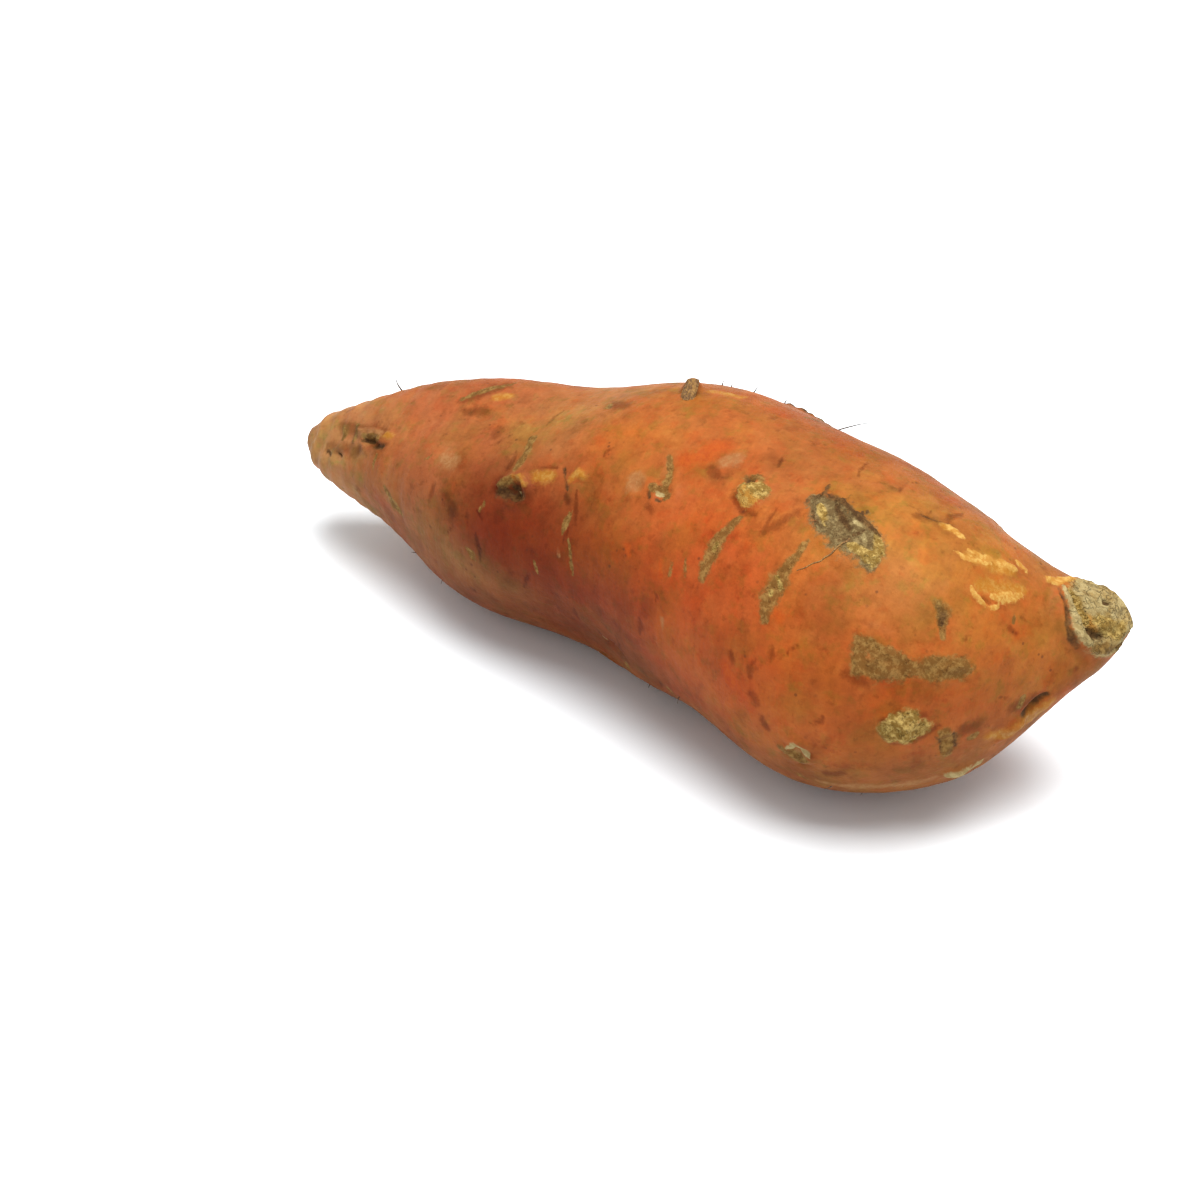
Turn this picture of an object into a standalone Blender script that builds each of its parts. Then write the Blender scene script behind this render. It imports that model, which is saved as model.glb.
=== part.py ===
"""Sweet potato: one whole storage root, grown as a single solid.

The root lies on its side along +X, with the thin root tip at -X and the stem end at +X.
It is +Z up, in metres, and its origin is on the ground under the middle of its box.
"""

import math

import bmesh
import bpy
import numpy as np

MM = 0.001

# Size of the body
LENGTH = 208.0 * MM
ROOT_NOSE = 7.0 * MM
STEM_NOSE = 6.0 * MM
RING_LEAN = 0.45
FLAT_DEPTH = 1.0 * MM

# Stations along the body, in mm: distance from the root tip, sideways and up position of the
# middle, half width and half height
STATIONS = (
    (0.0, 5.0, 24.3, 4.2, 4.2),
    (11.0, 5.0, 25.0, 10.0, 10.0),
    (29.0, 6.0, 26.5, 17.5, 17.0),
    (53.0, 2.0, 27.0, 25.0, 24.0),
    (78.0, 0.0, 29.5, 28.5, 28.0),
    (104.0, 1.0, 33.0, 36.0, 33.0),
    (129.0, -6.5, 34.0, 36.5, 33.0),
    (151.0, -14.5, 34.0, 37.0, 34.0),
    (169.0, -15.5, 34.0, 33.0, 31.5),
    (181.0, -12.5, 35.2, 26.3, 26.6),
    (195.0, -4.5, 38.4, 14.0, 13.5),
    (208.0, 2.0, 41.5, 6.5, 6.0),
)

# The thin lobe has four soft shoulders round it: their rise, the angle of the one at the front,
# where along the body they are strongest, and how far they reach
SHOULDER_RISE = 0.035
SHOULDER_ANGLE = 155.0
SHOULDER_ALONG = 66.0 * MM
SHOULDER_REACH = 38.0 * MM

# Low swellings, in mm and degrees: along, around, reach along, reach across, rise
SWELLINGS = (
    (60.0, 20.0, 24.0, 18.0, 1.6),
    (118.0, 335.0, 26.0, 20.0, 2.0),
    (160.0, 20.0, 22.0, 22.0, 1.5),
    (128.0, 168.0, 20.0, 14.0, 0.5),
    (40.0, 250.0, 16.0, 12.0, 0.9),
)

# Marks on the skin, in mm and degrees: along, around, reach along, reach across, turn, rise.
# Around is 0 at the back, 90 on top, 180 at the front and 270 underneath. A turn leads from the
# along direction towards the next larger angle around.
WARTS = (
    (173.9, 178.0, 4.2, 4.0, 0.0, 1.5),
    (133.5, 112.0, 2.9, 3.1, 0.0, 1.6),
    (101.8, 76.0, 2.1, 2.6, 0.0, 2.4),
    (180.4, 217.0, 3.6, 2.2, 20.0, 1.1),
    (188.4, 207.0, 4.6, 1.5, -14.0, 1.0),
    (88.0, 136.0, 2.6, 2.0, 30.0, 0.5),
    (21.0, 128.0, 3.6, 2.0, 10.0, 0.7),
    (92.0, 14.0, 3.2, 3.6, 0.0, 1.3),
    (63.0, 292.0, 3.0, 2.6, 0.0, 0.9),
    (146.0, 318.0, 3.4, 3.0, 0.0, 1.2),
)
EYES = (
    (73.7, 139.0, 3.6, 3.0, 20.0, 1.7),
    (25.6, 138.0, 3.6, 2.4, 15.0, 1.3),
    (114.0, 129.0, 3.2, 2.6, 0.0, 1.2),
    (106.0, 130.0, 2.4, 2.2, 0.0, 0.7),
    (157.6, 194.0, 3.4, 3.2, 0.0, 1.3),
    (15.5, 158.0, 2.6, 2.2, 0.0, 0.8),
    (180.0, 191.0, 2.6, 3.2, 0.0, 0.9),
    (54.2, 100.0, 3.4, 2.2, -20.0, 0.6),
    (45.0, 40.0, 3.4, 2.8, 0.0, 1.2),
    (84.0, 350.0, 3.6, 2.8, 10.0, 1.4),
    (123.0, 22.0, 3.6, 3.0, 0.0, 1.5),
    (152.0, 8.0, 3.2, 3.0, 0.0, 1.1),
    (178.0, 30.0, 3.2, 2.8, 0.0, 1.2),
    (34.0, 315.0, 3.0, 2.6, 0.0, 1.0),
    (112.0, 300.0, 3.6, 3.0, 0.0, 1.2),
    (171.0, 285.0, 3.4, 3.0, 0.0, 1.1),
    (94.0, 228.0, 3.0, 2.6, 0.0, 0.9),
)
CREASES = (
    (70.6, 124.0, 1.6, 6.5, 6.0, -0.6),
    (111.8, 119.0, 1.2, 4.2, 0.0, -0.6),
    (133.2, 135.0, 1.8, 6.4, 4.0, -0.6),
    (148.2, 134.0, 2.0, 9.0, 6.0, -0.7),
    (169.0, 83.5, 3.6, 1.3, 4.0, -0.9),
    (177.4, 134.0, 1.3, 3.2, 0.0, -0.8),
    (192.1, 202.0, 3.4, 1.5, -16.0, -1.3),
    (100.0, 206.0, 4.2, 1.5, 0.0, -0.9),
    (84.0, 192.0, 1.4, 6.0, 30.0, -0.4),
    (41.0, 168.0, 1.5, 7.0, 0.0, -0.5),
    (30.0, 100.0, 1.5, 8.0, 0.0, -0.4),
    (59.0, 330.0, 1.6, 8.0, 0.0, -0.7),
    (103.0, 355.0, 1.6, 9.0, 8.0, -0.7),
    (137.0, 345.0, 1.6, 9.0, -6.0, -0.8),
    (165.0, 340.0, 1.6, 8.0, 0.0, -0.7),
    (133.0, 255.0, 1.6, 8.0, 0.0, -0.6),
)
SCARS = (
    (154.2, 109.5, 10.6, 5.4, 30.0, 0.5),
    (167.8, 148.0, 5.6, 5.6, 0.0, 0.35),
    (177.2, 152.0, 6.0, 3.6, 10.0, 0.35),
    (182.5, 97.0, 4.6, 2.0, 0.0, -0.3),
    (184.9, 117.0, 5.0, 2.8, 0.0, -0.3),
    (118.0, 40.0, 8.0, 4.6, 30.0, 0.45),
    (72.0, 270.0, 9.0, 5.0, 0.0, 0.3),
)

# Stem end: the dome of cork over the tip, its raised lip and the groove behind the lip
CORK_ALONG = 202.5
CORK_AROUND = 112.0
CORK_REACH = 8.6 * MM
CORK_RISE = 0.9 * MM
LIP_RISE = 1.2 * MM
LIP_WIDTH = 1.3 * MM
LIP_AROUND = 138.0
LIP_SPREAD = 62.0

# Root tip: rings of fine wrinkles that fade along the body
WRINKLE_STEP = 4.6 * MM
WRINKLE_RISE = 0.35 * MM
WRINKLE_FADE = 17.0 * MM

# Long soft waves all over the body
WAVE_SEED = 31
WAVE_COUNT = 14
WAVE_RISE = 0.30 * MM

# Mesh: segments round the body, rings along it, how far round a mark the first and the second
# cut reach, and how evenly the rings are spaced
AROUND_SEGMENTS = 44
ALONG_RINGS = 76
FINE_REACH = (1.2, 1.3)
RING_EVENNESS = 0.45

# Skin colour, linear
SKIN_COLOUR = (0.50, 0.150, 0.040, 1.0)
SKIN_ROUGHNESS = 0.58


def clear_scene() -> None:
    """Remove every object of the scene."""
    for item in list(bpy.data.objects):
        bpy.data.objects.remove(item, do_unlink=True)


def natural_spline(knots: np.ndarray, values: np.ndarray, at: np.ndarray) -> np.ndarray:
    """Read a natural cubic spline.

    Args:
        knots: rising positions of the stations.
        values: the value at each station.
        at: positions to read.

    Returns:
        The spline's value at each position.
    """
    count = len(knots)
    step = np.diff(knots)
    matrix = np.eye(count)
    right = np.zeros(count)
    for i in range(1, count - 1):
        matrix[i, i - 1] = step[i - 1]
        matrix[i, i] = 2.0 * (step[i - 1] + step[i])
        matrix[i, i + 1] = step[i]
        slope_after = (values[i + 1] - values[i]) / step[i]
        slope_before = (values[i] - values[i - 1]) / step[i - 1]
        right[i] = 3.0 * (slope_after - slope_before)
    bend = np.linalg.solve(matrix, right)
    slope = np.diff(values) / step - step * (2.0 * bend[:-1] + bend[1:]) / 3.0
    turn = np.diff(bend) / (3.0 * step)
    span = np.clip(np.searchsorted(knots, at, side="right") - 1, 0, count - 2)
    past = at - knots[span]
    return values[span] + past * (slope[span] + past * (bend[span] + past * turn[span]))


def unit(vectors: np.ndarray) -> np.ndarray:
    """Scale each vector to length one."""
    size = np.linalg.norm(vectors, axis=-1, keepdims=True)
    return vectors / np.maximum(size, 1e-12)


def middle_line(along: np.ndarray) -> np.ndarray:
    """Points of the body's middle line at the given distances along it."""
    table = np.array(STATIONS) * MM
    sideways = natural_spline(table[:, 0], table[:, 1], along)
    up = natural_spline(table[:, 0], table[:, 2], along)
    return np.stack([along - LENGTH / 2.0, sideways, up], axis=-1)


def body(along: np.ndarray, around: np.ndarray) -> np.ndarray:
    """Smooth form of the body, before any mark.

    Each ring is an ellipse that leans part of the way with the middle line. The rings close
    in a round nose at both ends, and the thin lobe has four soft shoulders.

    Args:
        along: distance from the root tip, in metres.
        around: angle round the body, in radians.

    Returns:
        One point for each pair of values.
    """
    table = np.array(STATIONS) * MM
    half_width = natural_spline(table[:, 0], table[:, 3], along)
    half_height = natural_spline(table[:, 0], table[:, 4], along)
    from_root = np.clip(along / ROOT_NOSE, 0.0, 1.0)
    from_stem = np.clip((LENGTH - along) / STEM_NOSE, 0.0, 1.0)
    nose = np.sqrt(1.0 - (1.0 - from_root) ** 2) * np.sqrt(1.0 - (1.0 - from_stem) ** 2)
    strength = np.exp(-(((along - SHOULDER_ALONG) / SHOULDER_REACH) ** 2))
    lobes = np.cos(4.0 * (around - math.radians(SHOULDER_ANGLE)))
    size = nose * (1.0 + SHOULDER_RISE * strength * lobes)

    gap = 0.1 * MM
    centre = middle_line(along)
    line = unit(middle_line(along + gap) - middle_line(along - gap))
    forward = unit(RING_LEAN * line + (1.0 - RING_LEAN) * np.array([1.0, 0.0, 0.0]))
    side = unit(np.cross(np.array([0.0, 0.0, 1.0]), forward))
    top = np.cross(forward, side)
    across = (half_width * size * np.cos(around))[:, None]
    above = (half_height * size * np.sin(around))[:, None]
    return centre + side * across + top * above


def directions(along: np.ndarray, around: np.ndarray):
    """Directions on the smooth body.

    Args:
        along: distance from the root tip, in metres.
        around: angle round the body, in radians.

    Returns:
        Unit vectors along the body, round it and outwards, one of each for every pair.
    """
    gap = 0.05 * MM
    first = np.clip(along - gap, 0.0, LENGTH)
    second = np.clip(along + gap, 0.0, LENGTH)
    forward = unit(body(second, around) - body(first, around))
    turn = 0.01
    safe = np.clip(along, 0.02 * MM, LENGTH - 0.02 * MM)
    sideways = unit(body(safe, around + turn) - body(safe, around - turn))
    return forward, sideways, unit(np.cross(sideways, forward))


class Mark:
    """A place on the body with a reach along it and across it."""

    def __init__(self, along: float, around: float, reach_along: float, reach_across: float, turn: float = 0.0):
        """Set the mark's place and its two directions on the skin."""
        self.along = np.array([along * MM])
        self.around = np.array([math.radians(around)])
        self.reach = max(reach_along, reach_across) * MM
        forward, sideways, outward = directions(self.along, self.around)
        angle = math.radians(turn)
        self.centre = body(self.along, self.around)[0]
        self.first = (forward[0] * math.cos(angle) + sideways[0] * math.sin(angle)) / (reach_along * MM)
        self.second = (sideways[0] * math.cos(angle) - forward[0] * math.sin(angle)) / (reach_across * MM)
        self.third = outward[0] / (2.0 * self.reach)

    def distance(self, points: np.ndarray) -> np.ndarray:
        """Distance of each point from the mark's middle, where one is the end of its reach."""
        offset = points - self.centre
        first = offset @ self.first
        second = offset @ self.second
        third = offset @ self.third
        return np.sqrt(first ** 2 + second ** 2 + third ** 2)


def soft_step(value: np.ndarray) -> np.ndarray:
    """Rise smoothly from zero to one while the value does."""
    value = np.clip(value, 0.0, 1.0)
    return value * value * (3.0 - 2.0 * value)


def marks_relief(points: np.ndarray) -> np.ndarray:
    """Height of the swellings, warts, eyes, creases and scars at each point.

    A swelling and a wart are round rises, and a wart has steeper sides. An eye is a hollow
    inside a raised lip. A crease is a long narrow hollow. A scar is a low plate.
    """
    relief = np.zeros(len(points))
    for along, around, reach_along, reach_across, rise in SWELLINGS:
        distance = Mark(along, around, reach_along, reach_across).distance(points)
        relief += rise * MM * np.exp(-(distance ** 2))
    for *place, rise in WARTS:
        distance = Mark(*place).distance(points)
        relief += rise * MM * np.exp(-1.4 * distance ** 3)
    for *place, depth in EYES:
        distance = Mark(*place).distance(points)
        hollow = np.exp(-((distance / 0.52) ** 2))
        lip = np.exp(-(((distance - 1.0) / 0.42) ** 2))
        relief += depth * MM * (0.38 * lip - hollow)
    for *place, rise in CREASES:
        distance = Mark(*place).distance(points)
        relief += rise * MM * np.exp(-1.3 * distance ** 2)
    for *place, rise in SCARS:
        distance = Mark(*place).distance(points)
        relief += rise * MM * soft_step((1.2 - distance) / 0.4)
    return relief


def stem_end_relief(points: np.ndarray, around: np.ndarray) -> np.ndarray:
    """Height of the cork dome at the stem end and of the lip along its front edge."""
    cork = Mark(CORK_ALONG, CORK_AROUND, CORK_REACH / MM, CORK_REACH / MM)
    distance = np.linalg.norm(points - cork.centre, axis=1)
    dome = CORK_RISE * soft_step((CORK_REACH - distance) / (2.0 * MM))
    lip = np.exp(-(((distance - CORK_REACH) / LIP_WIDTH) ** 2))
    groove = np.exp(-(((distance - CORK_REACH - 2.4 * MM) / LIP_WIDTH) ** 2))
    inner = np.exp(-(((distance - CORK_REACH + 2.6 * MM) / LIP_WIDTH) ** 2))
    turn = np.degrees(around) - LIP_AROUND
    turn = (turn + 180.0) % 360.0 - 180.0
    front = np.exp(-((turn / LIP_SPREAD) ** 2))
    return dome + front * (LIP_RISE * lip - 0.5 * LIP_RISE * groove - 0.6 * LIP_RISE * inner)


def wave_relief(along: np.ndarray, around: np.ndarray) -> np.ndarray:
    """Height of the long soft waves and of the wrinkles that ring the root tip.

    The waves are a seeded sum of sines of the two directions, faded out at both ends.
    """
    draw = np.random.default_rng(WAVE_SEED)
    relief = np.zeros(len(along))
    share = along / LENGTH
    for _ in range(WAVE_COUNT):
        turns = draw.integers(1, 6)
        lengths = draw.uniform(0.6, 4.5)
        phase = draw.uniform(0.0, 2.0 * math.pi)
        relief += WAVE_RISE * np.sin(turns * around + 2.0 * math.pi * lengths * share + phase) / math.sqrt(turns)
    ends = soft_step(along / (14.0 * MM)) * soft_step((LENGTH - along) / (14.0 * MM))
    wander = 0.9 * np.sin(2.0 * around + 0.7) + 0.5 * np.sin(5.0 * around)
    rings = np.sin(2.0 * math.pi * along / WRINKLE_STEP + wander)
    fade = np.exp(-along / WRINKLE_FADE) * soft_step(along / (4.0 * MM))
    return relief * ends + WRINKLE_RISE * rings * fade


def along_of(share: np.ndarray) -> np.ndarray:
    """Distance along the body for a share of its rings, closer together at both ends."""
    eased = (1.0 - np.cos(math.pi * share)) / 2.0
    return LENGTH * ((1.0 - RING_EVENNESS) * eased + RING_EVENNESS * share)


def place_on_globe(points: np.ndarray):
    """Read where globe points lie on the body.

    Args:
        points: points on a globe of radius one whose poles are the two ends of the body.

    Returns:
        Distance along the body and angle round it for each point.
    """
    points = unit(points)
    share = 1.0 - np.arccos(np.clip(points[:, 2], -1.0, 1.0)) / math.pi
    return along_of(share), np.arctan2(points[:, 1], points[:, 0]) % (2.0 * math.pi)


def fine_places():
    """Marks round which the mesh is made finer, as pairs of a mark and a number of rounds."""
    places = []
    for table in (WARTS, EYES, CREASES, SCARS):
        for *place, rise in table:
            rounds = 2 if abs(rise) >= 1.5 else 1
            places.append((Mark(*place), rounds))
    return places


def refine(mesh: bmesh.types.BMesh) -> None:
    """Cut the globe into triangles, and those into smaller ones wherever a mark will lie."""
    bmesh.ops.triangulate(mesh, faces=mesh.faces[:])
    for round_number in (1, 2):
        mesh.verts.ensure_lookup_table()
        mesh.edges.index_update()
        globe = np.array([vertex.co[:] for vertex in mesh.verts])
        along, around = place_on_globe(globe)
        points = body(along, around)
        near = np.zeros(len(points), dtype=bool)
        for mark, rounds in fine_places():
            if rounds >= round_number:
                near |= mark.distance(points) < FINE_REACH[round_number - 1]
        faces = [face for face in mesh.faces if any(near[vertex.index] for vertex in face.verts)]
        edges = list({edge for face in faces for edge in face.edges})
        edges.sort(key=lambda edge: edge.index)
        bmesh.ops.subdivide_edges(mesh, edges=edges, cuts=1)
        bmesh.ops.triangulate(mesh, faces=mesh.faces[:])


def skin_material() -> bpy.types.Material:
    """Make the matte copper skin."""
    material = bpy.data.materials.new("skin")
    material.use_nodes = True
    shader = material.node_tree.nodes["Principled BSDF"]
    shader.inputs["Base Color"].default_value = SKIN_COLOUR
    shader.inputs["Roughness"].default_value = SKIN_ROUGHNESS
    shader.inputs["Metallic"].default_value = 0.0
    material.diffuse_color = SKIN_COLOUR
    return material


def build_sweet_potato() -> bpy.types.Object:
    """Build the whole root as one closed body.

    A globe is cut finer where the marks lie, and each of its points is then moved to its
    place on the body and out or in by the relief. What would reach below the ground is
    levelled, which gives the small flat spot that the root rests on.
    """
    shape = bmesh.new()
    bmesh.ops.create_uvsphere(shape, u_segments=AROUND_SEGMENTS, v_segments=ALONG_RINGS, radius=1.0)
    refine(shape)
    shape.verts.ensure_lookup_table()
    globe = np.array([vertex.co[:] for vertex in shape.verts])
    along, around = place_on_globe(globe)
    smooth = body(along, around)
    outward = directions(along, around)[2]
    outward[along < 0.01 * MM] = (-1.0, 0.0, 0.0)
    outward[along > LENGTH - 0.01 * MM] = (1.0, 0.0, 0.0)
    relief = marks_relief(smooth) + stem_end_relief(smooth, around) + wave_relief(along, around)
    points = smooth + outward * relief[:, None]

    ground = points[:, 2].min() + FLAT_DEPTH
    points[:, 2] = np.maximum(points[:, 2], ground) - ground
    low = points.min(axis=0)
    high = points.max(axis=0)
    points[:, 0] -= (low[0] + high[0]) / 2.0
    points[:, 1] -= (low[1] + high[1]) / 2.0
    for vertex, point in zip(shape.verts, points):
        vertex.co = point
    bmesh.ops.recalc_face_normals(shape, faces=shape.faces[:])

    data = bpy.data.meshes.new("sweet_potato")
    shape.to_mesh(data)
    shape.free()
    data.shade_smooth()
    data.materials.append(skin_material())
    root = bpy.data.objects.new("sweet_potato", data)
    bpy.context.collection.objects.link(root)
    return root


def main() -> None:
    """Clear the scene and build the root."""
    clear_scene()
    root = build_sweet_potato()
    size = ", ".join(f"{1000.0 * side:.1f}" for side in root.dimensions)
    print(f"sweet_potato: {len(root.data.polygons)} triangles, {size} mm")


main()
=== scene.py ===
"""Sweet potato: skin, cork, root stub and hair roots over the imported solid.

The root lies along +X with its thin root tip at -X and its stem end at +X, +Z up. Lengths in
the tables are in millimetres and angles in degrees; everything else is in metres and radians.
"""

import logging
import math
from dataclasses import dataclass, field
from enum import Enum

import bpy
import numpy as np
from mathutils import Matrix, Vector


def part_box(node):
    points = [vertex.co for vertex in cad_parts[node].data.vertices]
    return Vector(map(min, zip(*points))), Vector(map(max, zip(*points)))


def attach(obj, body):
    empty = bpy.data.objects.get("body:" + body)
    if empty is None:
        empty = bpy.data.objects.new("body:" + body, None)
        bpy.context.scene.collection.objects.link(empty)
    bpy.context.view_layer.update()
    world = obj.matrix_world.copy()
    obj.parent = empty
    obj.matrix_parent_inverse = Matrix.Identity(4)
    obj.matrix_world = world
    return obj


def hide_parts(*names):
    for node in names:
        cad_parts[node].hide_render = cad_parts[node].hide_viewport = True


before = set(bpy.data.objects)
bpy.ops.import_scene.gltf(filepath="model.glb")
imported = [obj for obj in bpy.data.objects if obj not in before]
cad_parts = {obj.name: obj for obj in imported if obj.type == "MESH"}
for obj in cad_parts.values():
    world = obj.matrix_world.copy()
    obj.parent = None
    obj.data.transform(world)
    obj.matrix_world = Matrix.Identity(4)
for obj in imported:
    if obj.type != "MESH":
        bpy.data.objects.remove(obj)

logging.basicConfig(level=logging.INFO, format="%(message)s")
LOG = logging.getLogger("sweet_potato")

Array = np.ndarray
Colour = tuple[float, float, float]
Place = tuple[float, float, float]
Socket = bpy.types.NodeSocket
MM = 0.001
NODE = "sweet_potato"
BODY = "root"
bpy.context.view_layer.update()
FAR = 9.0
FULL_TURN = 2.0 * math.pi


class Stain(Enum):
    """What a stroke does to the colour. The value names the attribute that holds its field."""

    SCAR = "stain_scar"
    OLIVE = "stain_olive"
    WART = "stain_wart"
    CREAM = "stain_cream"
    PALE = "stain_pale"
    OCHRE = "stain_ochre"
    RED = "stain_red"
    # Near-black pits and lines; where sunk in hollows they are partly painted shade.
    DARK = "stain_dark"
    TAN = "stain_tan"
    # A brown tint: faint stains, and painted shade at the feet of raised parts and in hollows.
    SHADE = "stain_shade"


def unit(vectors: Array) -> Array:
    """Scale each vector to length one."""
    return vectors / np.maximum(np.linalg.norm(vectors, axis=-1, keepdims=True), 1e-12)


def soft_step(value: Array) -> Array:
    """Rise smoothly from zero to one while the value does: three squares less two cubes."""
    value = np.clip(value, 0.0, 1.0)
    return value * value * (3.0 - 2.0 * value)


def natural_spline(knots: Array, values: Array, at: Array) -> Array:
    """Read a natural cubic spline, whose bend is zero at both ends.

    Args:
        knots: rising positions of the stations.
        values: the value at each station.
        at: positions to read.

    Returns:
        The spline's value at each position.
    """
    count = len(knots)
    step = np.diff(knots)
    slopes = np.diff(values) / step
    matrix = np.eye(count)
    right = np.zeros(count)
    inner = np.arange(1, count - 1)
    matrix[inner, inner - 1] = step[:-1]
    matrix[inner, inner] = 2.0 * (step[:-1] + step[1:])
    matrix[inner, inner + 1] = step[1:]
    right[inner] = 3.0 * (slopes[1:] - slopes[:-1])
    bend = np.linalg.solve(matrix, right)
    slope = slopes - step * (2.0 * bend[:-1] + bend[1:]) / 3.0
    turn = np.diff(bend) / (3.0 * step)
    span = np.clip(np.searchsorted(knots, at, side="right") - 1, 0, count - 2)
    past = at - knots[span]
    return values[span] + past * (slope[span] + past * (bend[span] + past * turn[span]))


@dataclass(frozen=True)
class LatticeNoise:
    """Smooth seeded noise: random values on a cubic lattice, blended between its corners.

    The size is the spacing of its largest layer in metres.
    """

    seed: int
    size: float
    layers: int = 3
    entries: int = 4096
    primes: tuple[int, int, int] = (73856093, 19349663, 83492791)
    layer_shift: float = 0.37

    def read(self, points: Array, size: float) -> Array:
        """Read the noise.

        Args:
            points: places, one a row.
            size: the lattice's spacing in metres.

        Returns:
            A value from minus one to one for each point. Each corner counts by the product of
            its three soft-stepped nearnesses.
        """
        table = np.random.default_rng(self.seed).random(self.entries) * 2.0 - 1.0
        cell = points / size
        base = np.floor(cell).astype(np.int64)
        part = soft_step(cell - base)
        total = np.zeros(len(points))
        for corner in np.ndindex(2, 2, 2):
            first, second, third = ((base + corner) * np.array(self.primes)).T
            near = np.where(np.array(corner) == 1, part, 1.0 - part).prod(axis=1)
            total += near * table[(first ^ second ^ third) % self.entries]
        return total

    def layered(self, points: Array) -> Array:
        """Add up the noise's layers, each half as large and half as strong as the last.

        Args:
            points: places, one a row.

        Returns:
            The sum at each point.
        """
        total = np.zeros(len(points))
        for layer in range(self.layers):
            shifted = points + self.layer_shift * layer
            total += self.read(shifted, self.size / 2.0 ** layer) / 2.0 ** layer
        return total


def one_place(along: float, around: float) -> tuple[Array, Array]:
    """Give a place in mm and degrees as one distance in metres and one angle in radians."""
    return np.array([along * MM]), np.array([math.radians(around)])


def sines(at: Array, waves: tuple[tuple[float, float, float], ...]) -> Array:
    """Add up sines.

    Args:
        at: where to read them.
        waves: each one's height, frequency and start.

    Returns:
        The sum at each place.
    """
    return sum(height * np.sin(turns * at + start) for height, turns, start in waves)


@dataclass
class RootForm:
    """The smooth form of the root, as the solid has it.

    The stations give, in mm, the distance from the root tip, the sideways and up position of
    the middle, and the half width and half height.
    """

    length: float = 208.0 * MM
    root_nose: float = 7.0 * MM
    stem_nose: float = 6.0 * MM
    ring_lean: float = 0.45
    flat_depth: float = 1.0 * MM
    shoulder_rise: float = 0.035
    shoulder_angle: float = 155.0
    shoulder_along: float = 66.0 * MM
    shoulder_reach: float = 38.0 * MM
    shoulder_count: float = 4.0
    line_gap: float = 0.1 * MM
    step_gap: float = 0.05 * MM
    pole_gap: float = 0.02 * MM
    turn_gap: float = 0.01
    stations: tuple[tuple[float, ...], ...] = (
        (0.0, 5.0, 24.3, 4.2, 4.2),
        (11.0, 5.0, 25.0, 10.0, 10.0),
        (29.0, 6.0, 26.5, 17.5, 17.0),
        (53.0, 2.0, 27.0, 25.0, 24.0),
        (78.0, 0.0, 29.5, 28.5, 28.0),
        (104.0, 1.0, 33.0, 36.0, 33.0),
        (129.0, -6.5, 34.0, 36.5, 33.0),
        (151.0, -14.5, 34.0, 37.0, 34.0),
        (169.0, -15.5, 34.0, 33.0, 31.5),
        (181.0, -12.5, 35.2, 26.3, 26.6),
        (195.0, -4.5, 38.4, 14.0, 13.5),
        (208.0, 2.0, 41.5, 6.5, 6.0),
    )

    def station(self, column: int, along: Array) -> Array:
        """Read one column of the stations along the root."""
        table = np.array(self.stations) * MM
        return natural_spline(table[:, 0], table[:, column], along)

    def middle_line(self, along: Array) -> Array:
        """Points of the middle line at the given distances along it."""
        sideways, up = self.station(1, along), self.station(2, along)
        return np.stack([along - self.length / 2.0, sideways, up], axis=-1)

    def surface(self, along: Array, around: Array) -> Array:
        """Smooth surface: an ellipse round each point of the middle line.

        Each ellipse leans part of the way with the middle line. Its size is one, less the round
        noses at both ends, plus four soft shoulders round the thin lobe.

        Args:
            along: distance from the root tip.
            around: angle round the root, 0 at the back and a quarter turn on top.

        Returns:
            One point for each pair of values.
        """
        from_root = np.clip(along / self.root_nose, 0.0, 1.0)
        from_stem = np.clip((self.length - along) / self.stem_nose, 0.0, 1.0)
        nose = np.sqrt(1.0 - (1.0 - from_root) ** 2) * np.sqrt(1.0 - (1.0 - from_stem) ** 2)
        strength = np.exp(-(((along - self.shoulder_along) / self.shoulder_reach) ** 2))
        lobes = np.cos(self.shoulder_count * (around - math.radians(self.shoulder_angle)))
        size = nose * (1.0 + self.shoulder_rise * strength * lobes)
        ahead, behind = along + self.line_gap, along - self.line_gap
        line = unit(self.middle_line(ahead) - self.middle_line(behind))
        straight = (1.0 - self.ring_lean) * np.array([1.0, 0.0, 0.0])
        forward = unit(self.ring_lean * line + straight)
        side = unit(np.cross(np.array([0.0, 0.0, 1.0]), forward))
        top = np.cross(forward, side)
        across = (self.station(3, along) * size * np.cos(around))[:, None]
        above = (self.station(4, along) * size * np.sin(around))[:, None]
        return self.middle_line(along) + side * across + top * above

    def directions(self, along: Array, around: Array) -> tuple[Array, Array, Array]:
        """Directions on the smooth surface, from small steps along it and round it.

        Args:
            along: distance from the root tip.
            around: angle round the root.

        Returns:
            Unit vectors along the root, round it and outwards.
        """
        first = np.clip(along - self.step_gap, 0.0, self.length)
        second = np.clip(along + self.step_gap, 0.0, self.length)
        forward = unit(self.surface(second, around) - self.surface(first, around))
        safe = np.clip(along, self.pole_gap, self.length - self.pole_gap)
        before, after = around - self.turn_gap, around + self.turn_gap
        sideways = unit(self.surface(safe, after) - self.surface(safe, before))
        outward = unit(np.cross(sideways, forward))
        outward[along < self.pole_gap / 2.0] = (-1.0, 0.0, 0.0)
        outward[along > self.length - self.pole_gap / 2.0] = (1.0, 0.0, 0.0)
        return forward, sideways, outward


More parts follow.
